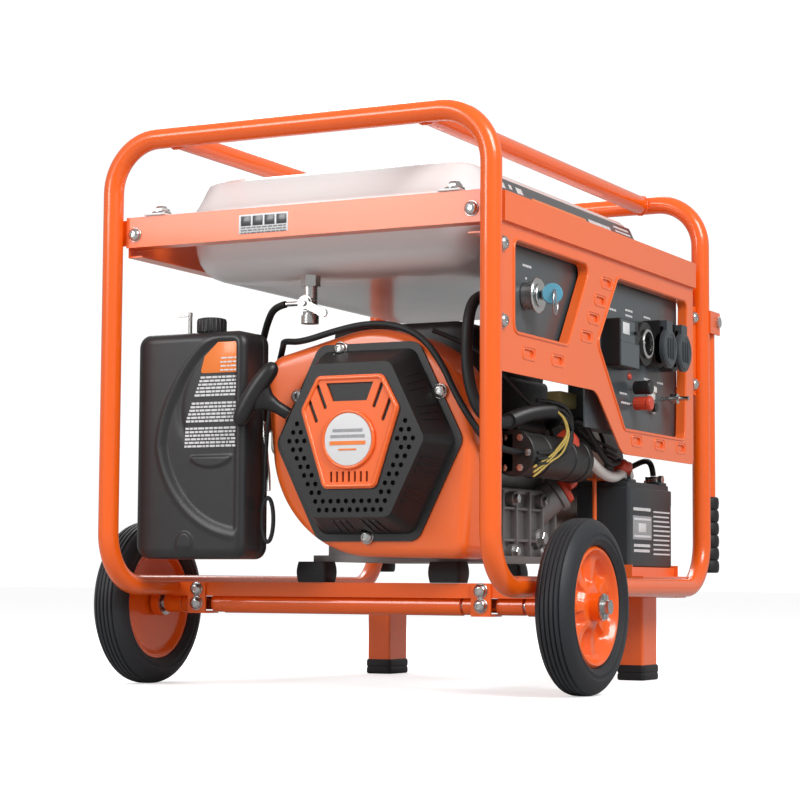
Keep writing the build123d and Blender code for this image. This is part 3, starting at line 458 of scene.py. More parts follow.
def tank_plastic():
    """Gloss white of the blown tank."""
    return finish_of("tank white", (0.80, 0.80, 0.795), 0.22, coat=0.3,
                     grain=(260, 0.15, 0.8), depth=0.06, tone=(6, 0.04, 0.08, 0.02))


def black_moulding():
    """Black moulded plastic with a fine spark-eroded grain."""
    return finish_of("black moulding", (0.011, 0.011, 0.012), 0.40, grain=(1500, 0.9, 0.2), depth=0.22,
                     tone=(18, 0.30, 0.12, 0.03))


def box_moulding():
    """The air cleaner's dark grey moulding, satin and finely grained."""
    return finish_of("box moulding", (0.020, 0.020, 0.022), 0.36, grain=(1300, 0.9, 0.2), depth=0.20,
                     tone=(12, 0.20, 0.10, 0.03))


def plate_paint():
    """Satin dark grey paint on the control plates."""
    return finish_of("plate paint", (0.062, 0.078, 0.085), 0.34, coat=0.15, grain=(1100, 0.5, 0.5),
                     depth=0.10, tone=(10, 0.12, 0.10, 0.02))


def grey_moulding():
    """Grey-black moulded plastic of the outlet lids."""
    return finish_of("grey moulding", (0.050, 0.060, 0.068), 0.38, grain=(1500, 0.8, 0.2), depth=0.2)


def zinc():
    """Bright zinc plate with faint cloudy passivation."""
    return finish_of("zinc plate", (0.58, 0.58, 0.57), 0.26, metallic=1.0, grain=(700, 0.4, 0.6), depth=0.08,
                     tone=(60, 0.25, 0.18, 0.0))


def cast_alloy():
    """Sand-blasted die-cast alloy, grey and slightly rough."""
    return finish_of("cast alloy", (0.27, 0.26, 0.255), 0.48, metallic=0.75, grain=(800, 1.0, 0.6),
                     depth=0.45, tone=(24, 0.28, 0.18, 0.05))


def machined_steel():
    """Turned steel, with fine rings drawn out across the crank's line."""
    return finish_of("machined steel", (0.46, 0.46, 0.47), 0.32, metallic=1.0, grain=(900, 0.4, 0.6),
                     depth=0.10, tone=(30, 0.22, 0.16, 0.0), stretch=(6, 1, 1))


def dark_iron():
    """Black-painted iron castings of the alternator and starter."""
    return finish_of("dark iron", (0.012, 0.012, 0.012), 0.46, grain=(600, 1.0, 0.8), depth=0.4,
                     tone=(16, 0.4, 0.15, 0.06))


def heat_steel():
    """Aluminised silencer steel, straw and blue where it has been hot."""
    return finish_of("heat steel", (0.34, 0.31, 0.27), 0.42, metallic=0.9, grain=(500, 0.5, 0.9), depth=0.2,
                     tone=(11, 0.55, 0.25, 0.04))


def soft_rubber():
    """Black rubber with a dull bloom."""
    return finish_of("soft rubber", (0.008, 0.008, 0.009), 0.55, grain=(1400, 0.8, 0.5), depth=0.25,
                     tone=(26, 0.4, 0.12, 0.06))


def tyre_rubber():
    """Solid tyre rubber, bluish black."""
    return finish_of("tyre rubber", (0.016, 0.018, 0.022), 0.55, grain=(1100, 0.7, 0.7), depth=0.28,
                     tone=(20, 0.35, 0.15, 0.08))


def red_moulding():
    """Red moulded plastic of the dipstick, knob and boots."""
    return finish_of("red moulding", (0.62, 0.06, 0.025), 0.34, grain=(1300, 0.7, 0.3), depth=0.14)


def battery_grey():
    """The battery's dark slate case."""
    return finish_of("battery grey", (0.030, 0.037, 0.041), 0.40, grain=(1200, 0.9, 0.3), depth=0.2)


def dark_print_and_shade():
    """Printed film, near black; also the painted shade in the silencer guard's slots."""
    return finish_of("dark print and shade", (0.055, 0.058, 0.062), 0.30, coat=0.3, grain=(500, 0.1, 0.6), depth=0.03,
                     tone=(40, 0.10, 0.06, 0.0))


def label_pale():
    """Pale print and white film."""
    return finish_of("label pale", (0.72, 0.72, 0.73), 0.34, coat=0.2, grain=(500, 0.1, 0.6), depth=0.03,
                     tone=(40, 0.10, 0.06, 0.0))


def label_orange():
    """Orange print."""
    return finish_of("label orange", (0.90, 0.22, 0.03), 0.32, coat=0.2, grain=(500, 0.1, 0.6), depth=0.03,
                     tone=(40, 0.10, 0.06, 0.0))


def label_grey():
    """Small grey print."""
    return finish_of("label grey", (0.33, 0.34, 0.35), 0.36, grain=(500, 0.1, 0.6), depth=0.03,
                     tone=(300, 0.9, 0.06, 0.0))


def yellow_wire():
    """Yellow-brown wire."""
    return finish_of("yellow wire", (0.50, 0.36, 0.08), 0.45, grain=(900, 0.5, 0.5), depth=0.12)


def filter_paper():
    """Oiled filter paper, dull yellow."""
    return finish_of("filter paper", (0.62, 0.57, 0.24), 0.70, grain=(700, 0.8, 0.5), depth=0.3)


def dark_screen():
    """A near-black, dull sheet behind the recoil cover's holes: painted shade in the holes."""
    return finish_of("dark screen", (0.004, 0.004, 0.004), 0.80, grain=(1500, 0.5, 0.5), depth=0.1,
                     specular=0.1)


def white_sleeve():
    """White heat-shrink sleeve."""
    return finish_of("white sleeve", (0.74, 0.72, 0.69), 0.42, grain=(800, 0.4, 0.6), depth=0.12)


def blue_head():
    """Pale blue plastic of the key's head."""
    return finish_of("blue head", (0.10, 0.36, 0.50), 0.28, coat=0.3, grain=(900, 0.5, 0.4), depth=0.1)


def copper_winding():
    """Varnished copper winding."""
    return finish_of("copper winding", (0.46, 0.17, 0.06), 0.34, metallic=0.9, grain=(300, 0.5, 0.9),
                     depth=0.3, stretch=(1, 8, 8))


FINISHES = {
    "powder": powder_coat, "sheet": sheet_paint, "tank": tank_plastic, "black": black_moulding,
    "box": box_moulding, "plate": plate_paint, "grey": grey_moulding, "zinc": zinc, "alloy": cast_alloy,
    "steel": machined_steel, "iron": dark_iron, "hot": heat_steel, "rubber": soft_rubber,
    "tyre": tyre_rubber, "red": red_moulding, "battery": battery_grey, "dark_print_and_shade": dark_print_and_shade,
    "label_pale": label_pale, "label_orange": label_orange, "label_grey": label_grey,
    "yellow": yellow_wire, "white": white_sleeve, "blue": blue_head, "copper": copper_winding,
    "paper": filter_paper, "dark": dark_screen,
}
NODE_FINISHES = {
    "powder": ("front_hoop", "rear_hoop", "frame_rails", "post_brackets", "axle_clamps", "stand_legs",
               "handle_left", "handle_right", "rim_left", "rim_right"),
    "sheet": ("tank_cradle", "fascia", "battery_tray", "blower_housing", "recoil_insert"),
    "tank": ("tank_lower_shell", "tank_upper_shell"),
    "zinc": ("axle", "flange_bolts", "fuel_tap", "fuel_tap_lever", "choke_lever", "ignition_switch",
             "terminals"),
    "black": ("fuel_cap", "breaker_body", "breaker_lever", "power_sockets", "dc_knob_black", "dc_button",
              "recoil_cover", "recoil_pulley", "starter_grip", "air_cleaner_base", "air_cleaner_knob"),
    "box": ("air_cleaner_cover",),
    "plate": ("control_plates",),
    "grey": ("socket_lid_1", "socket_lid_2"),
    "rubber": ("leg_shoes", "grip_left", "grip_right", "engine_mounts", "hoses_and_leads"),
    "tyre": ("tyre_left", "tyre_right"),
    "red": ("dc_knob_red", "oil_plug"),
    "battery": ("battery",),
    "iron": ("alternator_housing", "starter_motor"),
    "copper": ("alternator_rotor",),
    "alloy": ("crankcase", "cylinder", "rocker_cover", "carburettor", "flywheel"),
    "steel": ("crankshaft", "ignition_key"),
    "hot": ("muffler",),
}


# ---- what the sidebar shows ------------------------------------------------
class GeneratorSettings(bpy.types.PropertyGroup):
    """Sizes and colours of the generator's visible parts."""

    frame_colour: FloatVectorProperty(
        name="Frame colour", description="Powder coat on the tubes", subtype="COLOR", size=3,
        min=0, max=1, default=(0.93, 0.125, 0.004))
    # Lighter and paler than the frame colour: partly a second paint, partly painted reflection on the sheet
    # faces.
    sheet_colour_with_sheen: FloatVectorProperty(
        name="Sheet colour", description="Paint on the pressed sheet", subtype="COLOR", size=3,
        min=0, max=1, default=(0.93, 0.15, 0.022))
    tyre_ribs: IntProperty(
        name="Tyre ribs", description="Raised ribs around each tyre's tread", default=6, min=1, max=12)
    rim_lobes: IntProperty(
        name="Rim lobes", description="Hollows pressed into each rim", default=7, min=3, max=12)
    grip_ribs: IntProperty(
        name="Grip ribs", description="Collars on each lifting handle's grip", default=6, min=2, max=12)


class CameraSettings(bpy.types.PropertyGroup):
    """Where the camera stands and how it looks."""

    place: FloatVectorProperty(
        name="Place", description="The camera's own place", subtype="TRANSLATION", unit="LENGTH",
        default=(-2.6536, -1.3096, 0.1313))
    heading: FloatProperty(
        name="Heading", description="Turn of the view from +X towards +Y", subtype="ANGLE",
        default=radians(27.0756))
    lift: FloatProperty(
        name="Lift", description="Tilt of the view above level", subtype="ANGLE", default=radians(4.7367))
    roll: FloatProperty(
        name="Roll", description="Turn about the line of sight", subtype="ANGLE", default=radians(0.3436))
    focal_length: FloatProperty(
        name="Focal length", description="Lens on a 36 mm sensor, in millimetres", default=99.637, min=10)


# ---- painting the CAD nodes ------------------------------------------------
class GENERATOR_OT_paint_nodes(bpy.types.Operator):
    """Gives every CAD node its own finish"""

    bl_idname = "generator.paint_nodes"
    bl_label = "Paint the solid parts"

    def execute(self, context):
        for finish, nodes in NODE_FINISHES.items():
            for node in nodes:
                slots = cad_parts[node].data.materials
                slots.clear()
                slots.append(FINISHES[finish]())
        return {"FINISHED"}


# ---- wheels ----------------------------------------------------------------
def tyre_profile(ribs, outer, bore, width):
    """Half-round shoulders, ribs with grooves between them across the tread, and a step on each wall."""
    half = width / 2
    across = np.linspace(-1, 1, ribs * 8 + 1)
    crown = outer - 5 * across ** 4
    groove = 2.2 * step_up(np.cos(across * pi * ribs), 0.55, 0.9) * (np.abs(across) < 0.93)
    tread = np.column_stack([crown - groove, across * (half - 6)])
    wall = [(outer - 8.5, half - 3), (outer - 13, half - 0.8), (outer - 18, half), (outer - 20, half - 1.5),
            (outer - 23, half - 1.5), (outer - 25, half - 0.4), (bore + 6, half - 2), (bore + 1.5, half - 5),
            (bore, half - 9)]
    near = [(r, -reach) for r, reach in wall[::-1]]
    return np.concatenate([near, tread, wall])


def rim_relief(radius, angle, lobes):
    """Depth of the pressed rim face: a flat hub, hollows between ribs, and a rolled edge."""
    ring = step_up(radius, 24, 32) * (1 - step_up(radius, 56, 63))
    lobe = 0.5 + 0.5 * np.cos(lobes * angle)
    dish = 5.5 * step_up(radius, 20, 40) * (1 - step_up(radius, 58, 66))
    return 2.5 - dish - 7 * ring * step_up(lobe, 0.18, 0.62)


class GENERATOR_OT_wheels(bpy.types.Operator):
    """Makes the ribbed tyres and the dished, lobed rims"""

    bl_idname = "generator.wheels"
    bl_label = "Wheels"

    def execute(self, context):
        chosen = settings()
        for side_name, side in (("left", 1), ("right", -1)):
            low, high = box_corners(f"tyre_{side_name}")
            centre, outer, width = (low + high) / 2, (high[2] - low[2]) / 2, high[1] - low[1]
            tyre = Shell()
            profile = tyre_profile(chosen.tyre_ribs, outer, 72, width)
            angle = full_turn(96)
            spokes = np.stack([np.cos(angle), 0 * angle, np.sin(angle)], -1)
            loops = spokes[:, None] * profile[None, :, :1] + profile[None, :, 1:] * np.array((0, side, 0))
            tyre.rings(centre + loops, around=True)
            add_piece(f"ribbed_tyre_{side_name}", tyre, "tyre", f"{side_name}_wheel",
                      (f"tyre_{side_name}",))

            rim = Shell()
            radius = np.concatenate([np.linspace(10.5, 66, 38), [67.5, 69, 70.5, 71.6, 71.9]])
            turn = full_turn(168)
            grid_r, grid_a = np.meshgrid(radius, turn, indexing="ij")
            face = rim_relief(grid_r, grid_a, chosen.rim_lobes) + 11
            face += 4.5 * step_up(grid_r, 63, 68) - 3.5 * step_up(grid_r, 69.5, 72)
            back = np.where(grid_r < 60, -9, -9 - 6 * step_up(grid_r, 60, 70))
            front_rows = np.stack([grid_r * np.cos(grid_a), side * face, grid_r * np.sin(grid_a)], -1)
            back_rows = np.stack([grid_r * np.cos(grid_a), side * back, grid_r * np.sin(grid_a)], -1)
            rim.rings(centre + np.concatenate([front_rows, back_rows[::-1]]), around=True)
            for reach in (-25, 13):
                rim.rings(centre + turned_ring([(9, reach), (17, reach), (17, reach + 12), (9, reach + 12)],
                                               (0, side, 0)), around=True)
            add_piece(f"lobed_rim_{side_name}", rim, "powder", f"{side_name}_wheel",
                      (f"rim_{side_name}",))
        return {"FINISHED"}


def turned_ring(profile, axis, turns=40):
    """A closed ring: its section's corners (radius, reach) carried round the axis."""
    profile = np.asarray(profile, float)
    along, across, side = axes(axis)
    angle = full_turn(turns)
    spoke = np.cos(angle)[:, None] * across + np.sin(angle)[:, None] * side
    return spoke[:, None] * profile[None, :, :1] + profile[None, :, 1:] * along


def add_ring(shell, centre, axis, inner, outer, low, high, edge=0.6, turns=40):
    """Adds a washer or collar with eased edges to a shell."""
    section = [(inner, low), (outer - edge, low), (outer, low + edge), (outer, high - edge),
               (outer - edge, high), (inner, high)]
    shell.rings(np.asarray(centre, float) + turned_ring(section, axis, turns), around=True)


# ---- tank ------------------------------------------------------------------
def tank_sections():
    """(inset, height) rows of the tank from its belly to its crown."""
    belly = [(90, 510), (52, 510.5), (36, 513), (24, 517.5), (14, 525), (7, 535), (3, 547), (0.8, 562),
             (0, 576)]
    seam = [(0, 586.6), (-7.6, 587), (-8.2, 588.6), (-7.6, 590.6), (-0.2, 591)]
    crown = [(0, 598), (1.5, 603), (5, 608.5), (9.5, 617), (14, 627), (18, 634), (24, 638.6), (33, 641),
             (60, 642), (110, 642.6)]
    return belly + seam + crown


def ear_places():
    """(X, Y) of the middle of each of the tank's four ears."""
    low, high = box_corners("tank_lower_shell")
    return [(x, y) for x in (low[0] + 10, high[0] - 10) for y in (-EAR_Y, EAR_Y)]


class GENERATOR_OT_tank(bpy.types.Operator):
    """Makes the blown white tank with its rolled shoulders, seam and filler neck"""

    bl_idname = "generator.tank"
    bl_label = "Fuel tank"

    def execute(self, context):
        centre = middle("tank_upper_shell")
        seam = 8
        length = corner("tank_upper_shell", 1)[0] - corner("tank_upper_shell", 0)[0] - 2 * seam
        width = corner("tank_upper_shell", 1)[1] - corner("tank_upper_shell", 0)[1] - 2 * seam
        tank = Shell()
        base = rounded_rect(length, width, 50, 12)
        tank.slab(base, tank_sections(), lambda flat, lift: np.column_stack([flat + centre[:2], lift]))
        neck = middle("fuel_cap")
        add_ring(tank, (neck[0], neck[1], 641), (0, 0, 1), 24, 27, 0, 11, turns=48)
        add_piece("blown_tank", tank, "tank", "frame",
                  ("tank_lower_shell", "tank_upper_shell"), 50)

        ears = Shell()
        for x, y in ear_places():
            ears.block((x - 18, y - 15, 585.4), (x + 18, y + 15, 588.4), 1.2)
        add_piece("tank_ears", ears, "tank", "frame")

        cap = Shell()
        cap_low = corner("fuel_cap", 0)
        ribs = 36
        turn = full_turn(ribs * 4)
        rows = np.array([(27.2, 0), (32.5, 0), (33.6, 1.2), (33.6, 12), (32.5, 15.5), (29, 17.6), (16, 18.4)])
        ribbed = (rows[:, 1] > 1) & (rows[:, 1] < 14)
        ripple = 1 - 0.022 * (np.cos(turn * ribs) > 0)[None, :] * ribbed[:, None]
        spread = rows[:, :1] * ripple
        cap.rings(np.stack([neck[0] + spread * np.cos(turn), neck[1] + spread * np.sin(turn),
                            cap_low[2] + rows[:, 1:] + 0 * spread], -1))
        cap.block((neck[0] - 27, neck[1] - 5, cap_low[2] + 17),
                  (neck[0] + 27, neck[1] + 5, cap_low[2] + 23), 2)
        add_piece("ribbed_fuel_cap", cap, "black", "filler_cap", ("fuel_cap",))
        return {"FINISHED"}


# ---- hardware on the frame -------------------------------------------------
def bolt_places():
    """(point under the head, way the head looks) of every bolt that shows."""
    places = []
    for end, face in ((-1, corner("tank_cradle", 0)[0]), (1, corner("tank_cradle", 1)[0])):
        places += [((face, y, 563), (end, 0, 0)) for y in (-232, 232)]
    places += [((-351, FASCIA_Y, z), (0, -1, 0)) for z in (433, 523)]
    places += [((318, FASCIA_Y + 6, z), (0, -1, 0)) for z in (415, 510)]
    clamp_face = corner("axle_clamps", 0)[0]
    places += [((clamp_face, y, z), (-1, 0, 0)) for y in (220, -182) for z in (105, 123)]
    flange_x = corner("recoil_cover", 1)[0] - 3
    places += [((flange_x, y, z), (-1, 0, 0)) for y, z in ((-161, 359), (-64, 187), (-26, 415), (33, 359))]
    return places


class GENERATOR_OT_fasteners(bpy.types.Operator):
    """Makes domed bolt heads with their washers, and the rubber pads under the tank's ears"""

    bl_idname = "generator.fasteners"
    bl_label = "Bolts and washers"

    def execute(self, context):
        heads = Shell()
        for point, look in bolt_places():
            point = np.asarray(point, float)
            add_ring(heads, point, look, 3.5, 9.2, 0.05, 1.2, 0.4, 28)
            heads.turned([(0, 1), (7.9, 1), (8.2, 2), (7.9, 3.4), (6.6, 5.2), (4.4, 6.4), (3.4, 6.6),
                          (3.2, 4.4), (0, 4.2)], point, look, 24)
        for x, y in ear_places():
            heads.turned([(0, 591), (8.5, 591), (9, 592), (8.5, 596), (6.5, 598.6), (0, 599)], (x, y, 0),
                         (0, 0, 1), 6)
            heads.turned([(0, 590), (12, 590), (12, 591.4), (0, 591.4)], (x, y, 0), (0, 0, 1), 28)
        add_piece("domed_bolts", heads, "zinc", "frame")
        pads = Shell()
        for x, y in ear_places():
            add_ring(pads, (x, y, 585.5), (0, 0, 1), 4, 13, 0, 5, 1.2, 28)
        add_piece("tank_pads", pads, "rubber", "frame")

        welds = Shell()
        turn = full_turn(72)
        for x, end in ((FRONT_POST_X, 1), (REAR_POST_X, -1)):
            for y in (-172, 172):
                saddle = x + end * (np.sqrt(POST_R ** 2 - (POST_R * 0.97 * np.sin(turn)) ** 2) + 1.5)
                centre = np.stack([saddle, y + 13.2 * np.cos(turn), TOP_Z + 13.2 * np.sin(turn)], -1)
                add_bead(welds, centre, 1.7 + 0.35 * np.sin(turn * 18), (1, 0, 0))
        add_piece("rail_welds", welds, "powder", "frame", sharp=80)

        sleeve = Shell()
        low, high = box_corners("axle")
        centre = (low + high) / 2
        for near, far in ((-276, -236), (-150, 188), (250, 276)):
            add_ring(sleeve, (centre[0], 0, centre[2]), (0, 1, 0), 8.6, 12.5, near, far, 0.8, 36)
        add_piece("axle_sleeves", sleeve, "powder", "frame")
        return {"FINISHED"}


def add_bead(shell, line, radius, axis, sides=8):
    """Adds a closed round bead along a closed line: its section turns with the line about an axis."""
    run = np.roll(line, -1, 0) - np.roll(line, 1, 0)
    run /= np.linalg.norm(run, axis=1)[:, None]
    across = np.cross(run, np.asarray(axis, float))
    across /= np.linalg.norm(across, axis=1)[:, None]
    side = np.cross(run, across)
    angle = full_turn(sides)
    radius = np.broadcast_to(radius, len(line))[:, None, None]
    ring = np.cos(angle)[None, :, None] * across[:, None] + np.sin(angle)[None, :, None] * side[:, None]
    shell.rings(line[:, None] + radius * ring, around=True)


def add_tiles(shell, tiles, place, thick=0.5):
    """Adds flat raised rectangles (u0, u1, v0, v1), each with its edges eased."""
    for u0, u1, v0, v1 in tiles:
        square = np.array([(u0, v0), (u1, v0), (u1, v1), (u0, v1)], float)
        middle_uv = square.mean(0)
        shell.rings([place(square, np.full(4, -0.2)), place(square, np.full(4, thick * 0.7)),
                     place(middle_uv + (square - middle_uv) * 0.96, np.full(4, thick))])


def print_rows(rng, left, right, top, bottom, pitch, share=0.55):
    """Rows of short blocks that stand for small print, between a left edge and a right edge."""
    tiles = []
    for row in np.arange(top, bottom, -pitch):
        edge = left(row) if callable(left) else left
        words = np.cumsum(rng.uniform(3.0, 8.5, 40))
        starts = edge + np.concatenate([[0], words[:-1] + 1.3 * np.arange(1, 40)])
        ends = starts + np.diff(np.concatenate([[0], words]))
        keep = starts < right - 2
        tiles += [(a, b, row - pitch * share, row)
                  for a, b in zip(starts[keep], np.minimum(ends[keep], right))]
    return tiles


# ---- air cleaner -----------------------------------------------------------
def leaf_relief(flat, centre):
    """The box front's pressing: a leaf-shaped hollow, a crescent under the label and a latch."""
    y, z = flat[:, 0] + centre[0], flat[:, 1] + centre[1]
    leaf = np.hypot((y - 88) / (122 - 0.18 * (z - 300) * (z > 300)), (z - 318) / 128)
    hollow = -2.6 * (1 - step_up(leaf, 0.93, 1.0))
    lip = 0.9 * np.exp(-((leaf - 1.03) / 0.03) ** 2)
    inner = np.hypot((y - 84) / 98, (z - 345) / 92)
    channel = -1.2 * np.exp(-((inner - 1.0) / 0.05) ** 2) * step_up(z, 300, 330)
    crescent = 2.0 * step_up(288 - z, 0, 4) * (1 - step_up(np.hypot((y - 137) / 34, (z - 290) / 19), 0.85, 1))
    latch = 2.4 * (1 - step_up(np.hypot(y - 172, (z - 178) * 0.8), 10, 13))
    return hollow + lip + channel + crescent + latch


class GENERATOR_OT_air_cleaner(bpy.types.Operator):
    """Makes the air cleaner's pressed cover, its label and its ribbed knob"""

    bl_idname = "generator.air_cleaner"
    bl_label = "Air cleaner"

    def execute(self, context):
        low, high = box_corners("air_cleaner_cover")
        centre, depth = (low + high) / 2, high[0] - low[0]
        outline = rounded_rect(high[1] - low[1], high[2] - low[2], 17, 26)

        def dense_ring(inset):
            """The outline with its straight sides divided, so that the relief is followed."""
            ring = outline(inset)
            closed = np.vstack([ring, ring[:1]])
            reach = np.concatenate([[0], np.cumsum(np.linalg.norm(np.diff(closed, axis=0), axis=1))])
            places = np.linspace(0, reach[-1], 360, endpoint=False)
            return np.column_stack([np.interp(places, reach, closed[:, k]) for k in range(2)])

        turn = np.linspace(0, pi / 2, 7)
        edge = 12
        profile = [(0, 0), (0, 6), (1.6, 7), (1.6, 10), (0, 11)]
        profile += list(zip(edge * (1 - np.cos(turn)), depth - edge * (1 - np.sin(turn))))
        profile += [(inset, depth) for inset in np.linspace(edge + 1, (high[1] - low[1]) / 2 - 1, 52)]
        cover = Shell()
        cover.slab(dense_ring, profile, facing("-X", high[0], centre[1:]),
                   lambda flat, inset: leaf_relief(flat, centre[1:]) * step_up(inset, edge - 4, edge + 4))
        add_piece("pressed_air_box", cover, "box", "frame", ("air_cleaner_cover",), 50)

        face = facing("-X", low[0] + 2.4)
        orange = Shell()
        orange.slab(polygon_ring([(97, 389), (153, 389), (147, 410), (128, 427), (97, 427)], 3),
                    [(0, -0.5), (0, 0.4), (0.4, 0.6)], face)
        add_piece("air_box_label_top", orange, "label_orange", "frame")
        rng = np.random.default_rng(7)
        ink = Shell()

        def left_edge(z):
            """The left edge of the print, which follows the leaf."""
            return -float(np.interp(z, [296, 332, 389], [175, 173, 151]))

        tiles = []
        for top, bottom in ((385, 360), (353, 329), (322, 297)):
            tiles += print_rows(rng, left_edge, -97, top, bottom, 4.4, 0.6)
        add_tiles(ink, [(-b, -a, c, d) for a, b, c, d in tiles], face, 0.5)
        add_piece("air_box_small_print", ink, "label_pale", "frame")
        marks = Shell()
        add_tiles(marks, print_rows(rng, 101, 126, 408, 392, 5, 0.4), facing("-X", low[0] + 1.8), 0.4)
        add_piece("air_box_label_marks", marks, "label_pale", "frame")

        knob_low, knob_high = box_corners("air_cleaner_knob")
        centre = (knob_low + knob_high) / 2
        turn = full_turn(18 * 8)
        rows = np.array([(4, -19), (4, -9.8), (17.5, -9.6), (18.8, -8.2), (18.8, 5.5), (17.6, 8.2), (14, 9.3),
                         (5, 9.4)])
        ribbed = (rows[:, 1] > -9) & (rows[:, 1] < 8)
        rib = 1 - 0.07 * step_up(np.cos(turn * 18), -0.2, 0.5)[None, :] * ribbed[:, None]
        spread = rows[:, :1] * rib
        knob = Shell()
        knob.rings(np.stack([centre[0] + spread * np.cos(turn), centre[1] + spread * np.sin(turn),
                             knob_high[2] - 9.4 + rows[:, 1:] + 0 * spread], -1))
        add_piece("ribbed_air_knob", knob, "black", "cleaner_knob", ("air_cleaner_knob",))

        clip = Shell()
        clip_route = [(-300, 82, 330), (-304, 80, 312), (-302, 77, 296), (-305, 74, 280), (-303, 72, 262),
                      (-305, 71, 244)]
        clip.tube(even_line(clip_route, 4), 2.2, 10)
        add_piece("breather_spring", clip, "zinc", "frame")
        loop = Shell()
        turn = full_turn(48)
        oval = np.stack([np.full(48, -309.0), 70 + 8 * np.cos(turn), 208 + 27 * np.sin(turn)], -1)
        add_bead(loop, oval, 2.6, (1, 0, 0), 10)
        add_piece("breather_loop", loop, "rubber", "frame")
        return {"FINISHED"}


# ---- engine ----------------------------------------------------------------
def hull_of(circles):
    """A function from an inset to the outline of the hull round circles (u, v, radius):
    for every direction, the furthest point of the circle that reaches furthest."""
    circles = np.asarray(circles, float)
    angle = full_turn(144)
    ways = np.column_stack([np.cos(angle), np.sin(angle)])
    reach = ways @ circles[:, :2].T + circles[:, 2]
    best = circles[reach.argmax(1)]

    def ring(inset):
        return best[:, :2] + ways * np.maximum(best[:, 2] - inset, 1)[:, None]

    return ring


class GENERATOR_OT_blower(bpy.types.Operator):
    """Makes the fan housing's rolled orange shell and what stands on the recoil cover"""

    bl_idname = "generator.blower"
    bl_label = "Fan housing and recoil cover"

    def execute(self, context):
        low, high = box_corners("blower_housing")
        depth, edge, wall, mouth = high[0] - low[0], 13, 1.5, 104
        outline = hull_of([(0, 0, 138), (116, 80, 32), (-108, -120, 20)])
        turn = np.linspace(0, pi / 2, 7)
        outer = [(0, 0), (0, depth - edge)]
        outer += list(zip(edge * (1 - np.cos(turn[1:])), depth - edge * (1 - np.sin(turn[1:]))))
        place = facing("-X", high[0], CRANK[1:])
        angle = full_turn(144)
        hole = mouth * np.column_stack([np.cos(angle), np.sin(angle)])
        rows = [place(outline(inset), np.full(144, height)) for inset, height in outer]
        rows += [place(hole, np.full(144, depth)), place(hole, np.full(144, depth - wall))]
        rows += [place(outline(inset + wall), np.full(144, min(height, depth - wall)))
                 for inset, height in outer[::-1][1:]]
        shell = Shell()
        shell.rings(rows, around=True)
        add_piece("rolled_fan_housing", shell, "sheet", "frame", ("blower_housing",), 45)

        trims = Shell()
        insert = polygon_ring([(-44, 77), (44, 77), (66, 37), (35, -58), (-35, -58), (-66, 37)], 9)
        front = RECOIL_FACE - 3
        line = facing("-X", front, CRANK[1:])(insert(3.2), np.zeros(36))
        add_bead(trims, line, 2.4, (1, 0, 0), 10)
        badge_ring = facing("-X", front - 1, CRANK[1:])
        turn = full_turn(96)
        add_bead(trims, badge_ring(33.5 * np.column_stack([np.cos(turn), np.sin(turn)]), np.full(96, 1.0)),
                 2.2, (1, 0, 0), 10)
        add_piece("recoil_trim", trims, "sheet", "frame", sharp=60)

        disc = Shell()
        disc.turned([(0, 0), (31, 0), (31.6, 0.6), (31, 1.4), (26, 1.7), (0, 1.9)], (front - 2, *CRANK[1:]),
                    (-1, 0, 0), 72)
        add_piece("blank_badge", disc, "label_pale", "frame")
        bars = Shell()
        place = facing("-X", front - 3.9, CRANK[1:])
        add_tiles(bars, [(-20, 20, 9, 12.5), (-23, 23, 2, 5.5)], place, 0.4)
        add_piece("badge_bars", bars, "label_grey", "frame")
        stripe = Shell()
        add_tiles(stripe, [(-24, 24, -6.5, -2), (-12, 12, -13, -11)], place, 0.4)
        add_piece("badge_stripe", stripe, "label_orange", "frame")

        # A near-black sheet just behind the recoil cover's face: painted shade where the holes show the dark
        # inside.
        screen = Shell()
        face_hexagon = polygon_ring([(91, 0), (48, 86), (-48, 86), (-91, 0), (-48, -86), (48, -86)], 8)
        screen.slab(face_hexagon, [(0, 0), (0, 0.9)], facing("-X", RECOIL_FACE + 3.7, CRANK[1:]))
        add_piece("painted_shade_screen", screen, "dark", "frame")

        louvres = Shell()
        hexagon = np.array([(98, 0), (52, 92), (-52, 92), (-98, 0), (-52, -92), (52, -92)], float)
        for side in (2, 3, 4, 5, 0):
            start, end = hexagon[side], hexagon[(side + 1) % 6]
            run = unit(end - start)
            for share in (0.24, 0.32, 0.40, 0.60, 0.68, 0.76):
                foot = start + (end - start) * share
                inner, outer_end = foot * 1.035, foot * 1.175
                corners = np.array([inner - run * 1.6, inner + run * 1.6, outer_end + run * 1.6,
                                    outer_end - run * 1.6])
                reach = RECOIL_FACE + np.array([7.5, 7.5, 37.5, 37.5])
                ring = np.column_stack([reach, corners[:, 0] + CRANK[1], corners[:, 1] + CRANK[2]])
                lift = np.append([-0.35], 1.4 * foot / np.linalg.norm(foot))
                louvres.rings([ring - lift, ring + lift * 0.8])
        add_piece("recoil_side_ribs", louvres, "black", "frame")
        return {"FINISHED"}


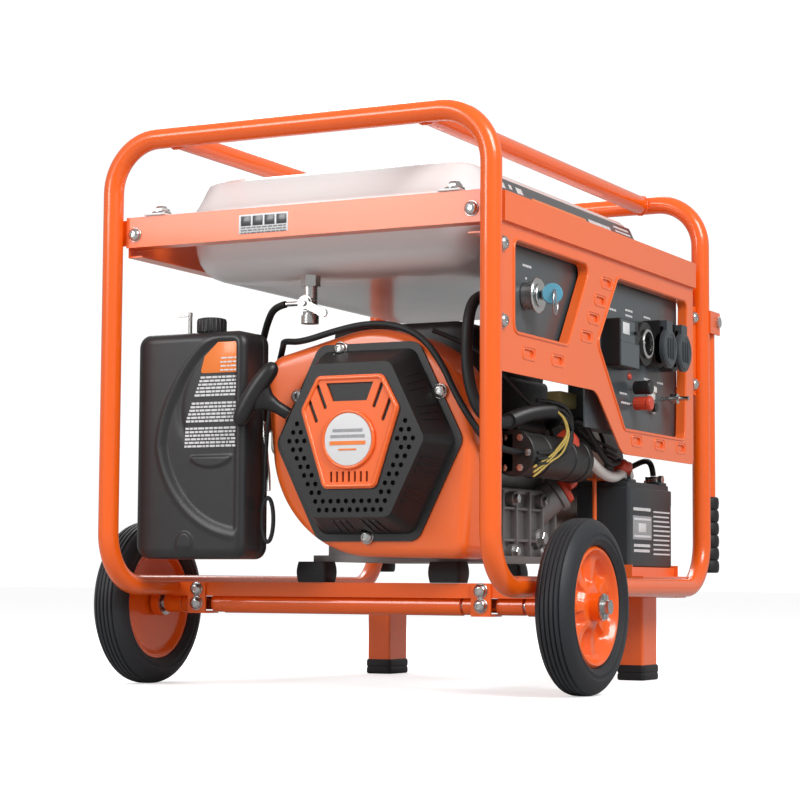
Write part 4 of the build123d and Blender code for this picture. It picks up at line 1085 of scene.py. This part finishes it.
class GENERATOR_OT_starter_grip(bpy.types.Operator):
    """Makes the moulded T of the pull starter"""

    bl_idname = "generator.starter_grip"
    bl_label = "Pull grip"

    def execute(self, context):
        guide = np.array((-328.0, 30, 335))
        pull = unit((-0.5, 0.7, 0.5))
        across = unit((0.1, -0.53, 0.84))
        centre = guide + pull * 50
        part = np.linspace(-1, 1, 33)
        line = centre + part[:, None] * across * 45 + pull * (-4 * part[:, None] ** 2)
        grip = Shell()
        grip.tube(line, 11.5 * np.sqrt(np.clip(1 - np.abs(part) ** 7, 0.02, 1)) * (1 - 0.10 * part ** 2), 20)
        reach = np.linspace(1, 48, 18)
        wide = np.interp(reach, [1, 18, 30, 40, 48], [7.5, 7.8, 11, 20, 29])
        thin = np.interp(reach, [1, 18, 48], [7.5, 7.5, 9.5])
        angle = full_turn(28)
        side = np.cross(pull, across)
        rows = guide + reach[:, None, None] * pull
        rows = rows + (wide[:, None] * np.cos(angle))[:, :, None] * across
        rows = rows + (thin[:, None] * np.sin(angle))[:, :, None] * side
        grip.rings(rows)
        add_piece("moulded_pull_grip", grip, "black", "pull_grip", ("starter_grip",), 60)
        return {"FINISHED"}


class GENERATOR_OT_engine_details(bpy.types.Operator):
    """Makes the ribs, bosses, bolts, boots and wires on the engine"""

    bl_idname = "generator.engine_details"
    bl_label = "Engine details"

    def execute(self, context):
        low, high = box_corners("crankcase")
        wall_y = CRANK[1] - 104
        ribs = Shell()
        for x in np.linspace(low[0] + 18, high[0] - 18, 6):
            ribs.block((x - 2.2, wall_y - 9, 166), (x + 2.2, wall_y + 4, 248), 1.6)
        for z in (186, 226):
            ribs.block((low[0] + 6, wall_y - 6, z - 2), (high[0] - 6, wall_y + 4, z + 2), 1.4)
        ribs.block((low[0] + 2, wall_y - 4, 244), (high[0] - 2, wall_y + 22, 252), 2.5)
        neck = unit((24, -40, 32))
        mouth = np.array((8.0, -184, 252))
        filler = [(0, -72), (30, -72), (27, -50), (22.5, -28), (21.5, -10), (24.5, -8), (25, -2), (24, -0.4),
                  (12.3, -0.3), (12.3, -10), (0, -10)]
        ribs.turned(filler, mouth, neck, 40)
        add_piece("case_ribs", ribs, "alloy", "frame", sharp=40)
        plug = Shell()
        plug.turned([(0, -20), (11.8, -20), (11.8, 0.4), (19, 0.6), (20, 2), (20, 7), (18.6, 9), (0, 10)],
                    mouth, neck, 40)
        across = unit(np.cross(neck, (0, 0, 1.0)))
        part = np.linspace(-1, 1, 21)
        arch = mouth + neck * 9 + part[:, None] * across * 21 + neck * (11 * (1 - np.abs(part[:, None]) ** 3))
        plug.tube(arch, 5.6, 14)
        plug.tube(mouth + neck * np.linspace(8, 19, 5)[:, None], 6.5, 14)
        add_piece("handled_oil_plug", plug, "red", "dipstick", ("oil_plug",))

        shroud = Shell()
        shroud.block((low[0] + 4, -148, 388), (high[0] + 26, 44, 456), 14, 6)
        shroud.block((low[0] + 30, -160, 330), (high[0] - 12, -120, 396), 8, 4)
        shroud.block((-52, -150, 330), (58, -108, 398), 8, 4)
        add_piece("cooling_shroud", shroud, "black", "frame")
        bosses = Shell()
        case_bolts = [(x, z) for x in (low[0] + 12, low[0] + 90, high[0] - 60) for z in (172, 238)]
        for x, z in case_bolts:
            bosses.turned([(0, -2), (10, -2), (9, 9), (8, 10), (0, 10)], (x, wall_y, z), (0, -1, 0), 24)
        bosses.turned([(0, -2), (13, -2), (12.4, 6), (11, 7), (0, 7)], (-36, wall_y, 190), (0, -1, 0), 28)
        add_piece("case_bosses", bosses, "alloy", "frame")
        screws = Shell()
        for x, z in case_bolts:
            screws.turned([(0, 0), (6.4, 0), (6.4, 4.4), (5.6, 5.2), (0, 5.4)], (x, wall_y - 10, z),
                          (0, -1, 0), 6)
        screws.turned([(0, 0), (9, 0), (9, 7), (8, 8), (0, 8)], (-36, wall_y - 7, 190), (0, -1, 0), 6)
        for angle in full_turn(6):
            screws.turned([(0, 0), (4.5, 0), (4.5, 4), (0, 4.4)],
                          (-204, STARTER_Y + 21 * cos(angle), STARTER_Z + 21 * sin(angle)), (-1, 0, 0), 6)
        add_piece("case_screws", screws, "zinc", "frame")

        starter = Shell()
        for near, far, radius in ((-206, -188, 28.5), (-150, -142, 28.2), (-70, -60, 28.2), (-26, -13, 28.4)):
            band = [(0, near), (radius - 1, near), (radius, near + 1), (radius, far - 1), (radius - 1, far),
                    (0, far)]
            starter.turned(band, (0, STARTER_Y, STARTER_Z), (1, 0, 0), 48)
        solenoid = [(0, -168), (14, -168), (15.5, -166), (15.5, -84), (14, -82), (0, -82)]
        starter.turned(solenoid, (0, -188, 326), (1, 0, 0), 36)
        add_piece("starter_bands", starter, "iron", "frame")
        boots = Shell()
        boots.turned([(0, -4), (13, -4), (14, 0), (12.5, 12), (9, 20), (5, 23), (0, 23.4)], (-60, -221, 314),
                     (0.8, -0.1, -0.3), 28)
        boots.turned([(0, -3), (11, -3), (12, 0), (10, 12), (6, 18), (0, 18.5)], (137, -222, 286),
                     (-0.75, -0.05, 0.35), 28)
        boots.block((128, -232, 274), (152, -208, 297), 5)
        add_piece("red_boots", boots, "red", "frame")
        sleeve = Shell()
        sleeve.tube(even_line([(-8, -223, 301), (20, -223, 290), (48, -223, 280), (78, -223, 274),
                               (108, -223, 274), (132, -222, 282)], 3), 7, 18)
        add_piece("white_lead_sleeve", sleeve, "white", "frame", sharp=60)
        wires = Shell()
        for shift, drop in ((0, 0), (5, 6), (-4, 11)):
            route = [(-150 + shift, -232, 352), (-122, -240, 344), (-104 - shift, -243, 328 - drop / 2),
                     (-112, -243, 314 - drop), (-136 - shift, -243, 300 - drop), (-160, -242, 287 - drop / 2),
                     (-188, -240, 278 - drop), (-202, -238, 272 - drop)]
            wires.tube(even_line(route, 4), 1.4, 8)
        add_piece("yellow_wires", wires, "yellow", "frame", sharp=80)
        dark = Shell()
        for shift in (0, 7, 13):
            route = [(-170, -228, 356 - shift), (-126, -238, 358 - shift), (-92, -241, 346 - shift),
                     (-84, -240, 324 - shift), (-106, -240, 304 - shift), (-150, -241, 292 - shift),
                     (-196, -240, 290 - shift)]
            dark.tube(even_line(route, 4), 2.4, 8)
            far_run = [(-30, -180, 362 - shift), (10, -190, 352 - shift), (40, -200, 336 - shift),
                       (70, -206, 322 - shift), (108, -210, 316 - shift), (150, -206, 312 - shift)]
            dark.tube(even_line(far_run, 4), 2.4, 8)
        dark.tube(even_line([(-240, -120, 440), (-226, -160, 424), (-206, -190, 396), (-196, -214, 366),
                             (-180, -226, 348)], 5), 3, 10)
        add_piece("black_wires", dark, "rubber", "frame", sharp=80)
        block = Shell()
        block.block((-30, -202, 360), (46, -180, 380), 3)
        add_piece("paper_filter", block, "paper", "frame")

        mounts = Shell()
        for x, y in ((-217, 52), (-217, -132), (256, -126), (256, -2)):
            heights = np.linspace(132.2, 158, 9)
            bulge = 1 + 0.10 * np.sin((heights - 132) / 26 * pi)
            base = rounded_rect(30, 40, 5, 5)(0)
            rows = [np.column_stack([x + base[:, 0] * b, y + base[:, 1] * b, np.full(len(base), z)])
                    for z, b in zip(heights, bulge)]
            mounts.rings(rows)
        add_piece("bulged_mounts", mounts, "rubber", "frame", ("engine_mounts",), 60)
        return {"FINISHED"}


# ---- control panel ---------------------------------------------------------
class GENERATOR_OT_panel_details(bpy.types.Operator):
    """Makes the fittings and marks on the control panel"""

    bl_idname = "generator.panel_details"
    bl_label = "Panel details"

    def execute(self, context):
        pockets = Shell()
        slots = [(-28, 516), (-51, 491), (-73, 466), (-96, 441), (-275, 402), (-188, 402)]
        slots += [(x, 320) for x in (77, 163, 247)]
        for x, z in slots:
            pockets.slab(rounded_rect(32, 12, 5, 5), [(0, 0), (0, 1.2), (1.2, 1.6)],
                         facing("-Y", FASCIA_Y + 3.7, (x, z)))
            rim = facing("-Y", FASCIA_Y, (x, z))(rounded_rect(37, 15, 5, 8)(0), np.zeros(32))
            add_bead(pockets, rim, 0.9, (0, 1, 0), 8)
        add_piece("pressed_pockets", pockets, "sheet", "frame", sharp=60)

        lips = Shell()
        for window in ([(-317, 531), (-86, 531), (-159, 425), (-317, 425)],
                       [(10, 526), (270, 526), (259, 334), (34, 334), (-58, 437)]):
            ring = polygon_ring(window, 10)
            line = facing("-Y", FASCIA_Y)(ring(-2.4), np.zeros(len(ring(0))))
            add_bead(lips, line, 1.8, (0, 1, 0), 10)
        add_piece("window_lips", lips, "sheet", "frame", sharp=60)

        key = middle("ignition_key")
        bezel = Shell()
        add_ring(bezel, (key[0], PLATE_Y, key[2]), (0, -1, 0), 13.8, 17, 0, 14, 1.2, 48)
        add_ring(bezel, (key[0], PLATE_Y - 14, key[2]), (0, -1, 0), 6, 21.5, 0, 4.5, 1.6, 48)
        add_ring(bezel, (key[0], PLATE_Y - 18.5, key[2]), (0, -1, 0), 6, 14, 0, 2.5, 1.2, 48)
        add_piece("switch_bezel", bezel, "zinc", "frame")
        head = Shell()
        key_x, key_z = key[0], key[2]
        head.turned([(0, -2.4), (11.5, -2.4), (12.5, -1.2), (12.5, 1.2), (11.5, 2.4), (0, 2.4)],
                    (key_x, -283, key_z + 1), (1, 0.5, 0), 40)
        add_piece("key_head", head, "blue", "key")
        shank = Shell()
        shank.block((key_x - 1.4, -282, key_z - 5), (key_x + 1.4, -256, key_z + 5), 0.6)
        shank.turned([(0, 0), (8.6, 0), (8.6, 5), (7.6, 6), (0, 6)], (key_x, -259, key_z), (0, -1, 0), 32)
        turn = full_turn(48)
        for tilt, radius in ((0.5, 15), (0.9, 13)):
            loop = np.stack([key_x + radius * np.cos(turn) * cos(tilt),
                             -287 + radius * np.cos(turn) * sin(tilt) * 0.4,
                             key_z - 9 + radius * np.sin(turn)], -1)
            add_bead(shank, loop, 1.1, (sin(tilt), cos(tilt), 0), 8)
        add_piece("key_and_rings", shank, "steel", "key", ("ignition_key",))

        low, high = box_corners("breaker_body")
        face = Shell()
        for v0, v1, u0, u1 in ((low[2] + 1, high[2] - 30, low[0] + 1.5, high[0] - 1.5),
                               (high[2] - 30.5, high[2] - 1.5, low[0] + 1.5, high[0] - 17)):
            face.slab(rounded_rect(u1 - u0, v1 - v0, 2, 4), [(0, -0.5), (0, 1.6), (0.8, 2.2)],
                      facing("-Y", low[1], ((u0 + u1) / 2, (v0 + v1) / 2)))
        add_piece("breaker_face", face, "plate", "frame")
        card = Shell()
        add_tiles(card, [(low[0] + 7, low[0] + 30, high[2] - 20, high[2] - 5)],
                  facing("-Y", low[1] - 2.2), 0.5)
        add_piece("breaker_card", card, "label_pale", "frame")

        outlet = Shell()
        socket_x, socket_z, socket_y = 96, 450, corner("power_sockets", 0)[1]
        add_ring(outlet, (socket_x, socket_y - 1, socket_z), (0, -1, 0), 16, 19.5, -1, 2.5, 1, 48)
        for angle in (0.3, 2.4, 4.5):
            outlet.turned([(0, 0), (2.6, 0), (2.6, 9), (1.8, 10.5), (0, 11)],
                          (socket_x + 8 * cos(angle), PLATE_Y - 8, socket_z + 8 * sin(angle)), (0, -1, 0), 16)
        add_piece("outlet_ring", outlet, "zinc", "frame")
        for number, x in ((1, 160), (2, 218)):
            dome = Shell()
            dome.turned([(0, -0.5), (24.5, -0.5), (24.5, 0.8), (22, 2.6), (19.5, 2.6), (18, 1.4), (0, 1.2)],
                        (x, -280, socket_z), (0, -1, 0), 48)
            for shift in (-9, 0, 9):
                dome.block((x + shift - 1.2, -283.6, socket_z - 14),
                           (x + shift + 1.2, -280.5, socket_z + 14), 0.7)
            add_piece(f"lid_dome_{number}", dome, "grey", f"lid_{number}")

        small = Shell()
        small.turned([(0, -0.2), (5, -0.2), (5, 1), (3.6, 2.6), (0, 3.4)], (91, PLATE_Y, 407), (0, -1, 0), 24)
        add_piece("red_lamp", small, "red", "frame")
        rocker = Shell()
        rocker.block((157, PLATE_Y - 7, 381), (173, PLATE_Y + 0.4, 401), 1.6)
        rocker.block((158.5, PLATE_Y - 10, 391), (171.5, PLATE_Y - 5, 399), 1.4)
        add_piece("pale_rocker", rocker, "white", "frame")
        knobs = {"black_knob": ("dc_knob_black", "black", "black_plastic"),
                 "red_knob": ("dc_knob_red", "red", "red_plastic")}
        for body, (node, finish, slot) in knobs.items():
            near, far = box_corners(node)
            centre = (near + far) / 2
            angle = full_turn(96)
            rows = np.array([(3.2, 0), (8.2, 0), (8.9, 1), (8.9, 16), (8.2, 18), (9.6, 19), (9.6, 22.4),
                             (8.6, 24), (0.4, 24.4)])
            fluted = (rows[:, 1] > 0.5) & (rows[:, 1] < 17)
            flute = 1 - 0.05 * (np.cos(angle * 16) > 0)[None, :] * fluted[:, None]
            spread = rows[:, :1] * flute
            knob = Shell()
            knob.rings(np.stack([centre[0] + spread * np.cos(angle), far[1] - rows[:, 1:] + 0 * spread,
                                 centre[2] + spread * np.sin(angle)], -1))
            add_piece(f"fluted_{body}", knob, finish, body, (node,))

        marks = Shell()
        rng = np.random.default_rng(3)
        tiles = []
        for x, z, width, rows in ((-258, 512, 26, 1), (-250, 497, 4, 1), (10, 491, 34, 1), (78, 496, 26, 2),
                                  (146, 494, 24, 1), (206, 492, 24, 1), (56, 384, 26, 1), (62, 372, 34, 1),
                                  (146, 410, 22, 1), (196, 409, 26, 1)):
            tiles += print_rows(rng, x, x + width, z, z - rows * 7 + 0.5, 7, 0.4)
        add_tiles(marks, tiles, facing("-Y", PLATE_Y), 0.35)
        add_piece("panel_marks", marks, "label_pale", "frame")
        return {"FINISHED"}


# ---- battery ---------------------------------------------------------------
class GENERATOR_OT_battery_details(bpy.types.Operator):
    """Makes the battery's stepped case, its posts and its label"""

    bl_idname = "generator.battery_details"
    bl_label = "Battery"

    def execute(self, context):
        low, high = box_corners("battery")
        centre, top = (low + high) / 2, high[2] - 20
        case = Shell()
        ring = rounded_rect(high[0] - low[0], high[1] - low[1], 5, 6)
        profile = [(2, low[2]), (0.4, low[2] + 2), (0.4, top - 22), (0, top - 20), (0, top - 1.5), (1.5, top),
                   (4, top), (4, top + 6), (5.5, top + 7.4)]
        case.slab(ring, profile, lambda flat, lift: np.column_stack([flat + centre[:2], lift]))
        for x in (low[0] + 24, high[0] - 24):
            case.block((x - 14, low[1] + 4, top + 6), (x + 14, low[1] + 30, top + 11), 1.6)
        for x in np.linspace(low[0] + 48, high[0] - 48, 4):
            case.turned([(0, top + 6), (9, top + 6), (9, top + 9), (8, top + 10), (0, top + 10)],
                        (x, centre[1] + 10, 0), (0, 0, 1), 24)
        add_piece("stepped_battery", case, "battery", "frame", ("battery",))
        posts = Shell()
        for x in (low[0] + 24, high[0] - 24):
            posts.block((x - 9, low[1] + 10, top + 10), (x + 9, low[1] + 28, top + 19.5), 1)
            posts.turned([(0, 0), (6.5, 0), (6.5, 5), (0, 5.4)], (x, low[1] + 10, top + 15), (0, -1, 0), 6)
        add_piece("battery_posts", posts, "zinc", "frame")
        face = facing("-Y", low[1] + 0.4)
        card = Shell()
        add_tiles(card, [(low[0] + 14, low[0] + 84, top - 70, top - 38)], face, 0.5)
        add_piece("battery_card", card, "label_grey", "frame")
        ink = Shell()
        rng = np.random.default_rng(11)
        tiles = print_rows(rng, low[0] + 16, low[0] + 82, top - 27, top - 33, 7, 0.6)
        tiles += print_rows(rng, low[0] + 92, high[0] - 10, top - 30, top - 92, 6.4, 0.35)
        tiles += print_rows(rng, low[0] + 18, low[0] + 78, top - 76, top - 88, 7, 0.55)
        add_tiles(ink, tiles, face, 0.5)
        card_marks = [(low[0] + 18, low[0] + 80, top - 44, top - 41),
                      (low[0] + 18, low[0] + 80, top - 67, top - 64),
                      (low[0] + 34, low[0] + 62, top - 60, top - 48)]
        add_tiles(ink, card_marks, facing("-Y", low[1] - 0.1), 0.5)
        add_piece("battery_print", ink, "label_pale", "frame")
        return {"FINISHED"}


# ---- labels on the tank and cradle -----------------------------------------
class GENERATOR_OT_labels(bpy.types.Operator):
    """Makes the plain strip on the tank's flank and the plain picture strip on the cradle"""

    bl_idname = "generator.labels"
    bl_label = "Strips"

    def execute(self, context):
        sections = np.array(tank_sections())
        heights = np.linspace(605, 631, 9)
        upper = sections[12:]
        near = corner("tank_upper_shell", 0)[1] + 8
        flank = near + np.interp(heights, upper[:, 1], upper[:, 0])
        slope = np.gradient(flank, heights)
        normal = np.stack([0 * slope, -np.ones_like(slope), slope], -1)
        normal /= np.linalg.norm(normal, axis=1)[:, None]
        strip = Shell()
        across = np.linspace(-214, 244, 24)
        grid = np.stack(np.broadcast_arrays(across[None, :], flank[:, None], heights[:, None]), -1)
        strip.sticker(grid, np.broadcast_to(normal[:, None], grid.shape), 0.5, 0.3)
        add_piece("tank_strip", strip, "dark_print_and_shade", "frame")

        def on_flank(flat, lift):
            """Places (X, height) outlines on the tank's sloping flank."""
            y = np.interp(flat[:, 1], heights, flank) - 0.5 - np.asarray(lift)
            return np.column_stack([flat[:, 0], y, flat[:, 1]])

        rng = np.random.default_rng(5)
        pale = Shell()
        blocks = [(-204, -192, 617, 625), (-178, -170, 619, 625), (-156, -138, 617, 625)]
        add_tiles(pale, blocks, on_flank, 0.4)
        add_tiles(pale, print_rows(rng, 78, 156, 620, 612, 9, 0.8), on_flank, 0.4)
        add_tiles(pale, print_rows(rng, 176, 232, 626, 609, 6, 0.5), on_flank, 0.4)
        add_piece("tank_strip_marks", pale, "label_pale", "frame")
        warm = Shell()
        add_tiles(warm, [(-112, 66, 610, 618)], on_flank, 0.4)
        add_piece("tank_strip_stripe", warm, "label_orange", "frame")

        face = facing("-X", corner("tank_cradle", 0)[0])
        card = Shell()
        add_tiles(card, [(12, 81, 554, 577)], face, 0.5)
        add_piece("cradle_card", card, "label_pale", "frame")
        dark = Shell()
        add_tiles(dark, [(14 + 16.6 * k, 28 + 16.6 * k, 563, 575) for k in range(4)],
                  facing("-X", corner("tank_cradle", 0)[0] - 0.5), 0.4)
        add_tiles(dark, print_rows(rng, 15, 78, 561.5, 555, 3.2, 0.5),
                  facing("-X", corner("tank_cradle", 0)[0] - 0.5), 0.4)
        add_piece("cradle_pictures", dark, "dark_print_and_shade", "frame")
        return {"FINISHED"}


# ---- handles and feet ------------------------------------------------------
class GENERATOR_OT_grips_and_feet(bpy.types.Operator):
    """Makes the handles' collared grips and the legs' rubber shoes"""

    bl_idname = "generator.grips_and_feet"
    bl_label = "Grips and shoes"

    def execute(self, context):
        collars = settings().grip_ribs
        for side in ("left", "right"):
            low, high = box_corners(f"grip_{side}")
            centre = (low + high) / 2
            height = np.linspace(low[2], high[2], collars * 14 + 1)
            wave = np.abs(np.sin((height - low[2]) / (high[2] - low[2]) * collars * pi)) ** 0.35
            radius = 12.2 + 2.8 * wave
            profile = [(0, low[2])] + list(zip(radius, height)) + [(10.1, high[2])]
            grip = Shell()
            grip.turned(profile, (centre[0], centre[1], 0), (0, 0, 1), 40)
            add_piece(f"collared_grip_{side}", grip, "rubber", f"{side}_handle",
                      (f"grip_{side}",), 40)
        low, high = box_corners("leg_shoes")
        centre = (low + high) / 2
        shoes = Shell()
        for side in (-1, 1):
            y = side * (high[1] - 20.5)
            place = (lambda flat, lift, y=y: np.column_stack([flat + (centre[0], y), lift]))
            profile = [(2.5, 0), (0.5, 1.2), (0, 3), (0, 8), (0.8, 9), (0.8, 11), (0, 12), (0, 19), (1.5, 21)]
            shoes.slab(rounded_rect(61, 41, 6, 6), profile, place)
        add_piece("rubber_shoes", shoes, "rubber", "frame", ("leg_shoes",))
        return {"FINISHED"}


# ---- alternator and silencer -----------------------------------------------
class GENERATOR_OT_rear_details(bpy.types.Operator):
    """Makes the alternator's bands, end vents and bolts, and the silencer's guard"""

    bl_idname = "generator.rear_details"
    bl_label = "Alternator and silencer"

    def execute(self, context):
        low, high = box_corners("alternator_housing")
        axis_point = (0, CRANK[1], CRANK[2])
        bands = Shell()
        for near, far, radius in ((low[0], low[0] + 34, 103), (high[0] - 70, high[0] - 4, 102)):
            add_ring(bands, axis_point, (1, 0, 0), 97, radius, near, far, 3, 72)
        add_ring(bands, axis_point, (1, 0, 0), 16, 34, high[0] - 2, high[0] + 9, 2, 48)
        for angle in full_turn(12):
            way = np.array((0, cos(angle), sin(angle)))
            start = np.array(axis_point) + way * 36 + (high[0] + 1.5, 0, 0)
            bands.tube(np.linspace(start, start + way * 58, 4), 3, 8)
        add_piece("alternator_bands", bands, "iron", "frame")
        stack = Shell()
        reach = np.arange(low[0] + 34, high[0] - 70, 2.5)
        radius = 98.6 + 0.7 * (np.arange(len(reach)) % 2)
        stack.turned([(0, reach[0])] + list(zip(radius, reach)) + [(0, reach[-1])], axis_point, (1, 0, 0), 72)
        add_piece("stator_stack", stack, "hot", "frame")
        bolts = Shell()
        for angle in np.linspace(pi / 4, 2 * pi + pi / 4, 4, endpoint=False):
            place = (0, CRANK[1] + 90 * cos(angle), CRANK[2] + 90 * sin(angle))
            bolts.turned([(0, 0), (6.5, 0), (6.5, 5), (0, 5.6)], (high[0], *place[1:]), (1, 0, 0), 6)
        add_piece("alternator_bolts", bolts, "zinc", "frame")

        guard = Shell()
        box_low, box_high = np.array((-36.0, 112, 300)), np.array((126.0, 226, 430))
        centre = (box_low + box_high) / 2
        guard.slab(rounded_rect(150, 120, 14, 6), [(0, -3), (0, 3), (3, 6), (8, 7)],
                   facing("Y", box_high[1], (centre[0], centre[2])))
        add_piece("silencer_guard", guard, "hot", "frame")
        # Dark tiles on the solid guard where its slots are: painted shade standing for the dark inside the
        # slots.
        slots = Shell()
        tiles = [(x, x + 16, z, z + 5) for x in range(-18, 100, 26) for z in range(322, 414, 14)]
        add_tiles(slots, tiles, facing("Y", box_high[1] + 6.8), 0.5)
        add_piece("guard_slot_shade", slots, "dark_print_and_shade", "frame")
        return {"FINISHED"}


# ---- hoses and leads -------------------------------------------------------
class GENERATOR_OT_hoses(bpy.types.Operator):
    """Makes the held hoses, looms and leads, each along its own route"""

    bl_idname = "generator.hoses"
    bl_label = "Hoses and leads"

    def execute(self, context):
        arch = [(-232, 104, 397), (-236, 98, 410), (-258, 80, 428), (-288, 62, 430), (-306, 28, 425),
                (-306, -20, 437), (-306, -62, 444), (-306, -104, 441), (-306, -140, 424), (-306, -166, 390),
                (-306, -182, 356), (-306, -204, 322), (-292, -215, 300), (-250, -222, 290), (-206, -222, 290)]
        sheath = [(-250, -221, 474), (-252, -206, 476), (-275, -198, 474), (-302, -200, 458),
                  (-311, -200, 425), (-311, -200, 390), (-311, -205, 358), (-308, -216, 330),
                  (-284, -230, 318), (-262, -232, 324)]
        loom = [(-262, -232, 324), (-232, -233, 332), (-180, -232, 341), (-120, -230, 347), (-78, -220, 343),
                (-48, -192, 338), (-43, -170, 336)]
        red_lead = [(-30, -212, 331), (-27, -214, 342), (-6, -220, 344), (28, -223, 318), (72, -224, 290),
                    (108, -223, 292), (128, -221, 300), (135, -221, 283)]
        black_lead = [(252, -221, 283), (254, -219, 298), (264, -206, 306), (262, -188, 298),
                      (248, -170, 286)]
        fuel = [(-286, 61, 476), (-284, 78, 474), (-270, 96, 458), (-254, 112, 436), (-246, 124, 414),
                (-244, 126, 398)]
        drain = [(-304, 72, 350), (-307, 74, 310), (-308, 75, 262), (-306, 76, 232), (-306, 83.5, 219)]
        rubber = Shell()
        for route, radius in ((arch, 4), (sheath, 7), (black_lead, 4), (fuel, 4.5), (drain, 2.5)):
            rubber.tube(even_line(route, 4), radius, 16)
        add_piece("rubber_hoses", rubber, "rubber", "frame", ("hoses_and_leads",))
        corrugated = Shell()
        line = even_line(loom, 1.0)
        corrugated.tube(line, 9.2 + 0.8 * np.cos(np.arange(len(line)) * 2 * pi / 4), 20)
        add_piece("corrugated_loom", corrugated, "black", "frame", sharp=60)
        lead = Shell()
        lead.tube(even_line(red_lead, 4), 4, 14)
        add_piece("starter_lead", lead, "rubber", "frame")
        return {"FINISHED"}


# ---- stage -----------------------------------------------------------------
class GENERATOR_OT_stage(bpy.types.Operator):
    """Sets the pale floor, the soft lights and the camera"""

    bl_idname = "generator.stage"
    bl_label = "Stage"

    def execute(self, context):
        scene = context.scene
        floor_mesh = bpy.data.meshes.new("pale_floor")
        half = 40.0
        floor_mesh.from_pydata([(-half, -half, 0), (half, -half, 0), (half, half, 0), (-half, half, 0)], [],
                               [(0, 1, 2, 3)])
        floor = bpy.data.objects.new("pale_floor", floor_mesh)
        scene.collection.objects.link(floor)
        paper = bpy.data.materials.new("studio paper")
        paper.use_nodes = True
        shader = paper.node_tree.nodes["Principled BSDF"]
        shader.inputs["Roughness"].default_value = 0.8
        shader.inputs["Specular IOR Level"].default_value = 0.1
        seen = paper.node_tree.nodes.new("ShaderNodeLightPath").outputs["Is Camera Ray"]
        tone = paper.node_tree.nodes.new("ShaderNodeMix")
        tone.data_type = "RGBA"
        tone.inputs[6].default_value = (0.45, 0.45, 0.45, 1)
        tone.inputs[7].default_value = (0.92, 0.92, 0.92, 1)
        paper.node_tree.links.new(seen, tone.inputs[0])
        paper.node_tree.links.new(tone.outputs[2], shader.inputs["Base Color"])
        glow = math_node(paper.node_tree, "MULTIPLY", seen, 0.5)
        shader.inputs["Emission Color"].default_value = (1, 1, 1, 1)
        paper.node_tree.links.new(glow, shader.inputs["Emission Strength"])
        floor_mesh.materials.append(paper)

        world = bpy.data.worlds.new("studio")
        world.use_nodes = True
        world.node_tree.nodes["Background"].inputs["Color"].default_value = (1, 1, 1, 1)
        seen = world.node_tree.nodes.new("ShaderNodeLightPath").outputs["Is Camera Ray"]
        strength = math_node(world.node_tree, "MULTIPLY_ADD", seen, 0.55, 0.5)
        world.node_tree.links.new(strength, world.node_tree.nodes["Background"].inputs["Strength"])
        scene.world = world
        scene.view_settings.view_transform = "Standard"

        for name, place, size, power in (
            ("key_light", (-1.6, -2.8, 2.6), 1.6, 105), ("side_light", (-3.0, 1.4, 1.6), 1.2, 40),
            ("back_light", (2.4, 1.6, 2.8), 2.0, 60),
        ):
            data = bpy.data.lights.new(name, "AREA")
            data.size = size
            data.energy = power
            lamp = bpy.data.objects.new(name, data)
            lamp.location = place
            look = Vector((0, 0, 0.3)) - Vector(place)
            lamp.rotation_euler = look.to_track_quat("-Z", "Y").to_euler()
            scene.collection.objects.link(lamp)

        chosen = scene.generator_camera
        ahead = Vector((cos(chosen.heading) * cos(chosen.lift), sin(chosen.heading) * cos(chosen.lift),
                        sin(chosen.lift)))
        level = Vector((sin(chosen.heading), -cos(chosen.heading), 0))
        above = level.cross(ahead)
        right = cos(chosen.roll) * level + sin(chosen.roll) * above
        up = cos(chosen.roll) * above - sin(chosen.roll) * level
        data = bpy.data.cameras.new("camera")
        data.sensor_width = 36
        data.lens = chosen.focal_length
        camera = bpy.data.objects.new("camera", data)
        camera.matrix_world = Matrix((
            (right.x, up.x, -ahead.x, chosen.place[0]), (right.y, up.y, -ahead.y, chosen.place[1]),
            (right.z, up.z, -ahead.z, chosen.place[2]), (0, 0, 0, 1)))
        scene.collection.objects.link(camera)
        scene.camera = camera
        return {"FINISHED"}


OPERATORS = (
    GENERATOR_OT_paint_nodes, GENERATOR_OT_wheels, GENERATOR_OT_tank, GENERATOR_OT_fasteners,
    GENERATOR_OT_air_cleaner, GENERATOR_OT_blower, GENERATOR_OT_starter_grip, GENERATOR_OT_engine_details,
    GENERATOR_OT_panel_details, GENERATOR_OT_battery_details, GENERATOR_OT_labels,
    GENERATOR_OT_grips_and_feet, GENERATOR_OT_rear_details, GENERATOR_OT_hoses, GENERATOR_OT_stage,
)


class GENERATOR_PT_sidebar(bpy.types.Panel):
    """Lists what the generator is made of"""

    bl_label = "Generator"
    bl_idname = "GENERATOR_PT_sidebar"
    bl_space_type = "VIEW_3D"
    bl_region_type = "UI"
    bl_category = "Generator"

    def draw(self, context):
        chosen = context.scene.generator
        for label in ("frame_colour", "sheet_colour_with_sheen", "tyre_ribs", "rim_lobes", "grip_ribs"):
            self.layout.prop(chosen, label)
        for operator in OPERATORS:
            self.layout.operator(operator.bl_idname)


CLASSES = (GeneratorSettings, CameraSettings, *OPERATORS, GENERATOR_PT_sidebar)


def register():
    """Adds the settings, the operators and the panel to Blender."""
    for item in CLASSES:
        bpy.utils.register_class(item)
    bpy.types.Scene.generator = PointerProperty(type=GeneratorSettings)
    bpy.types.Scene.generator_camera = PointerProperty(type=CameraSettings)


def unregister():
    """Takes them out again."""
    del bpy.types.Scene.generator_camera
    del bpy.types.Scene.generator
    for item in reversed(CLASSES):
        bpy.utils.unregister_class(item)


def main():
    register()
    for operator in OPERATORS:
        family, action = operator.bl_idname.split(".")
        getattr(getattr(bpy.ops, family), action)()


if __name__ == "__main__":
    main()
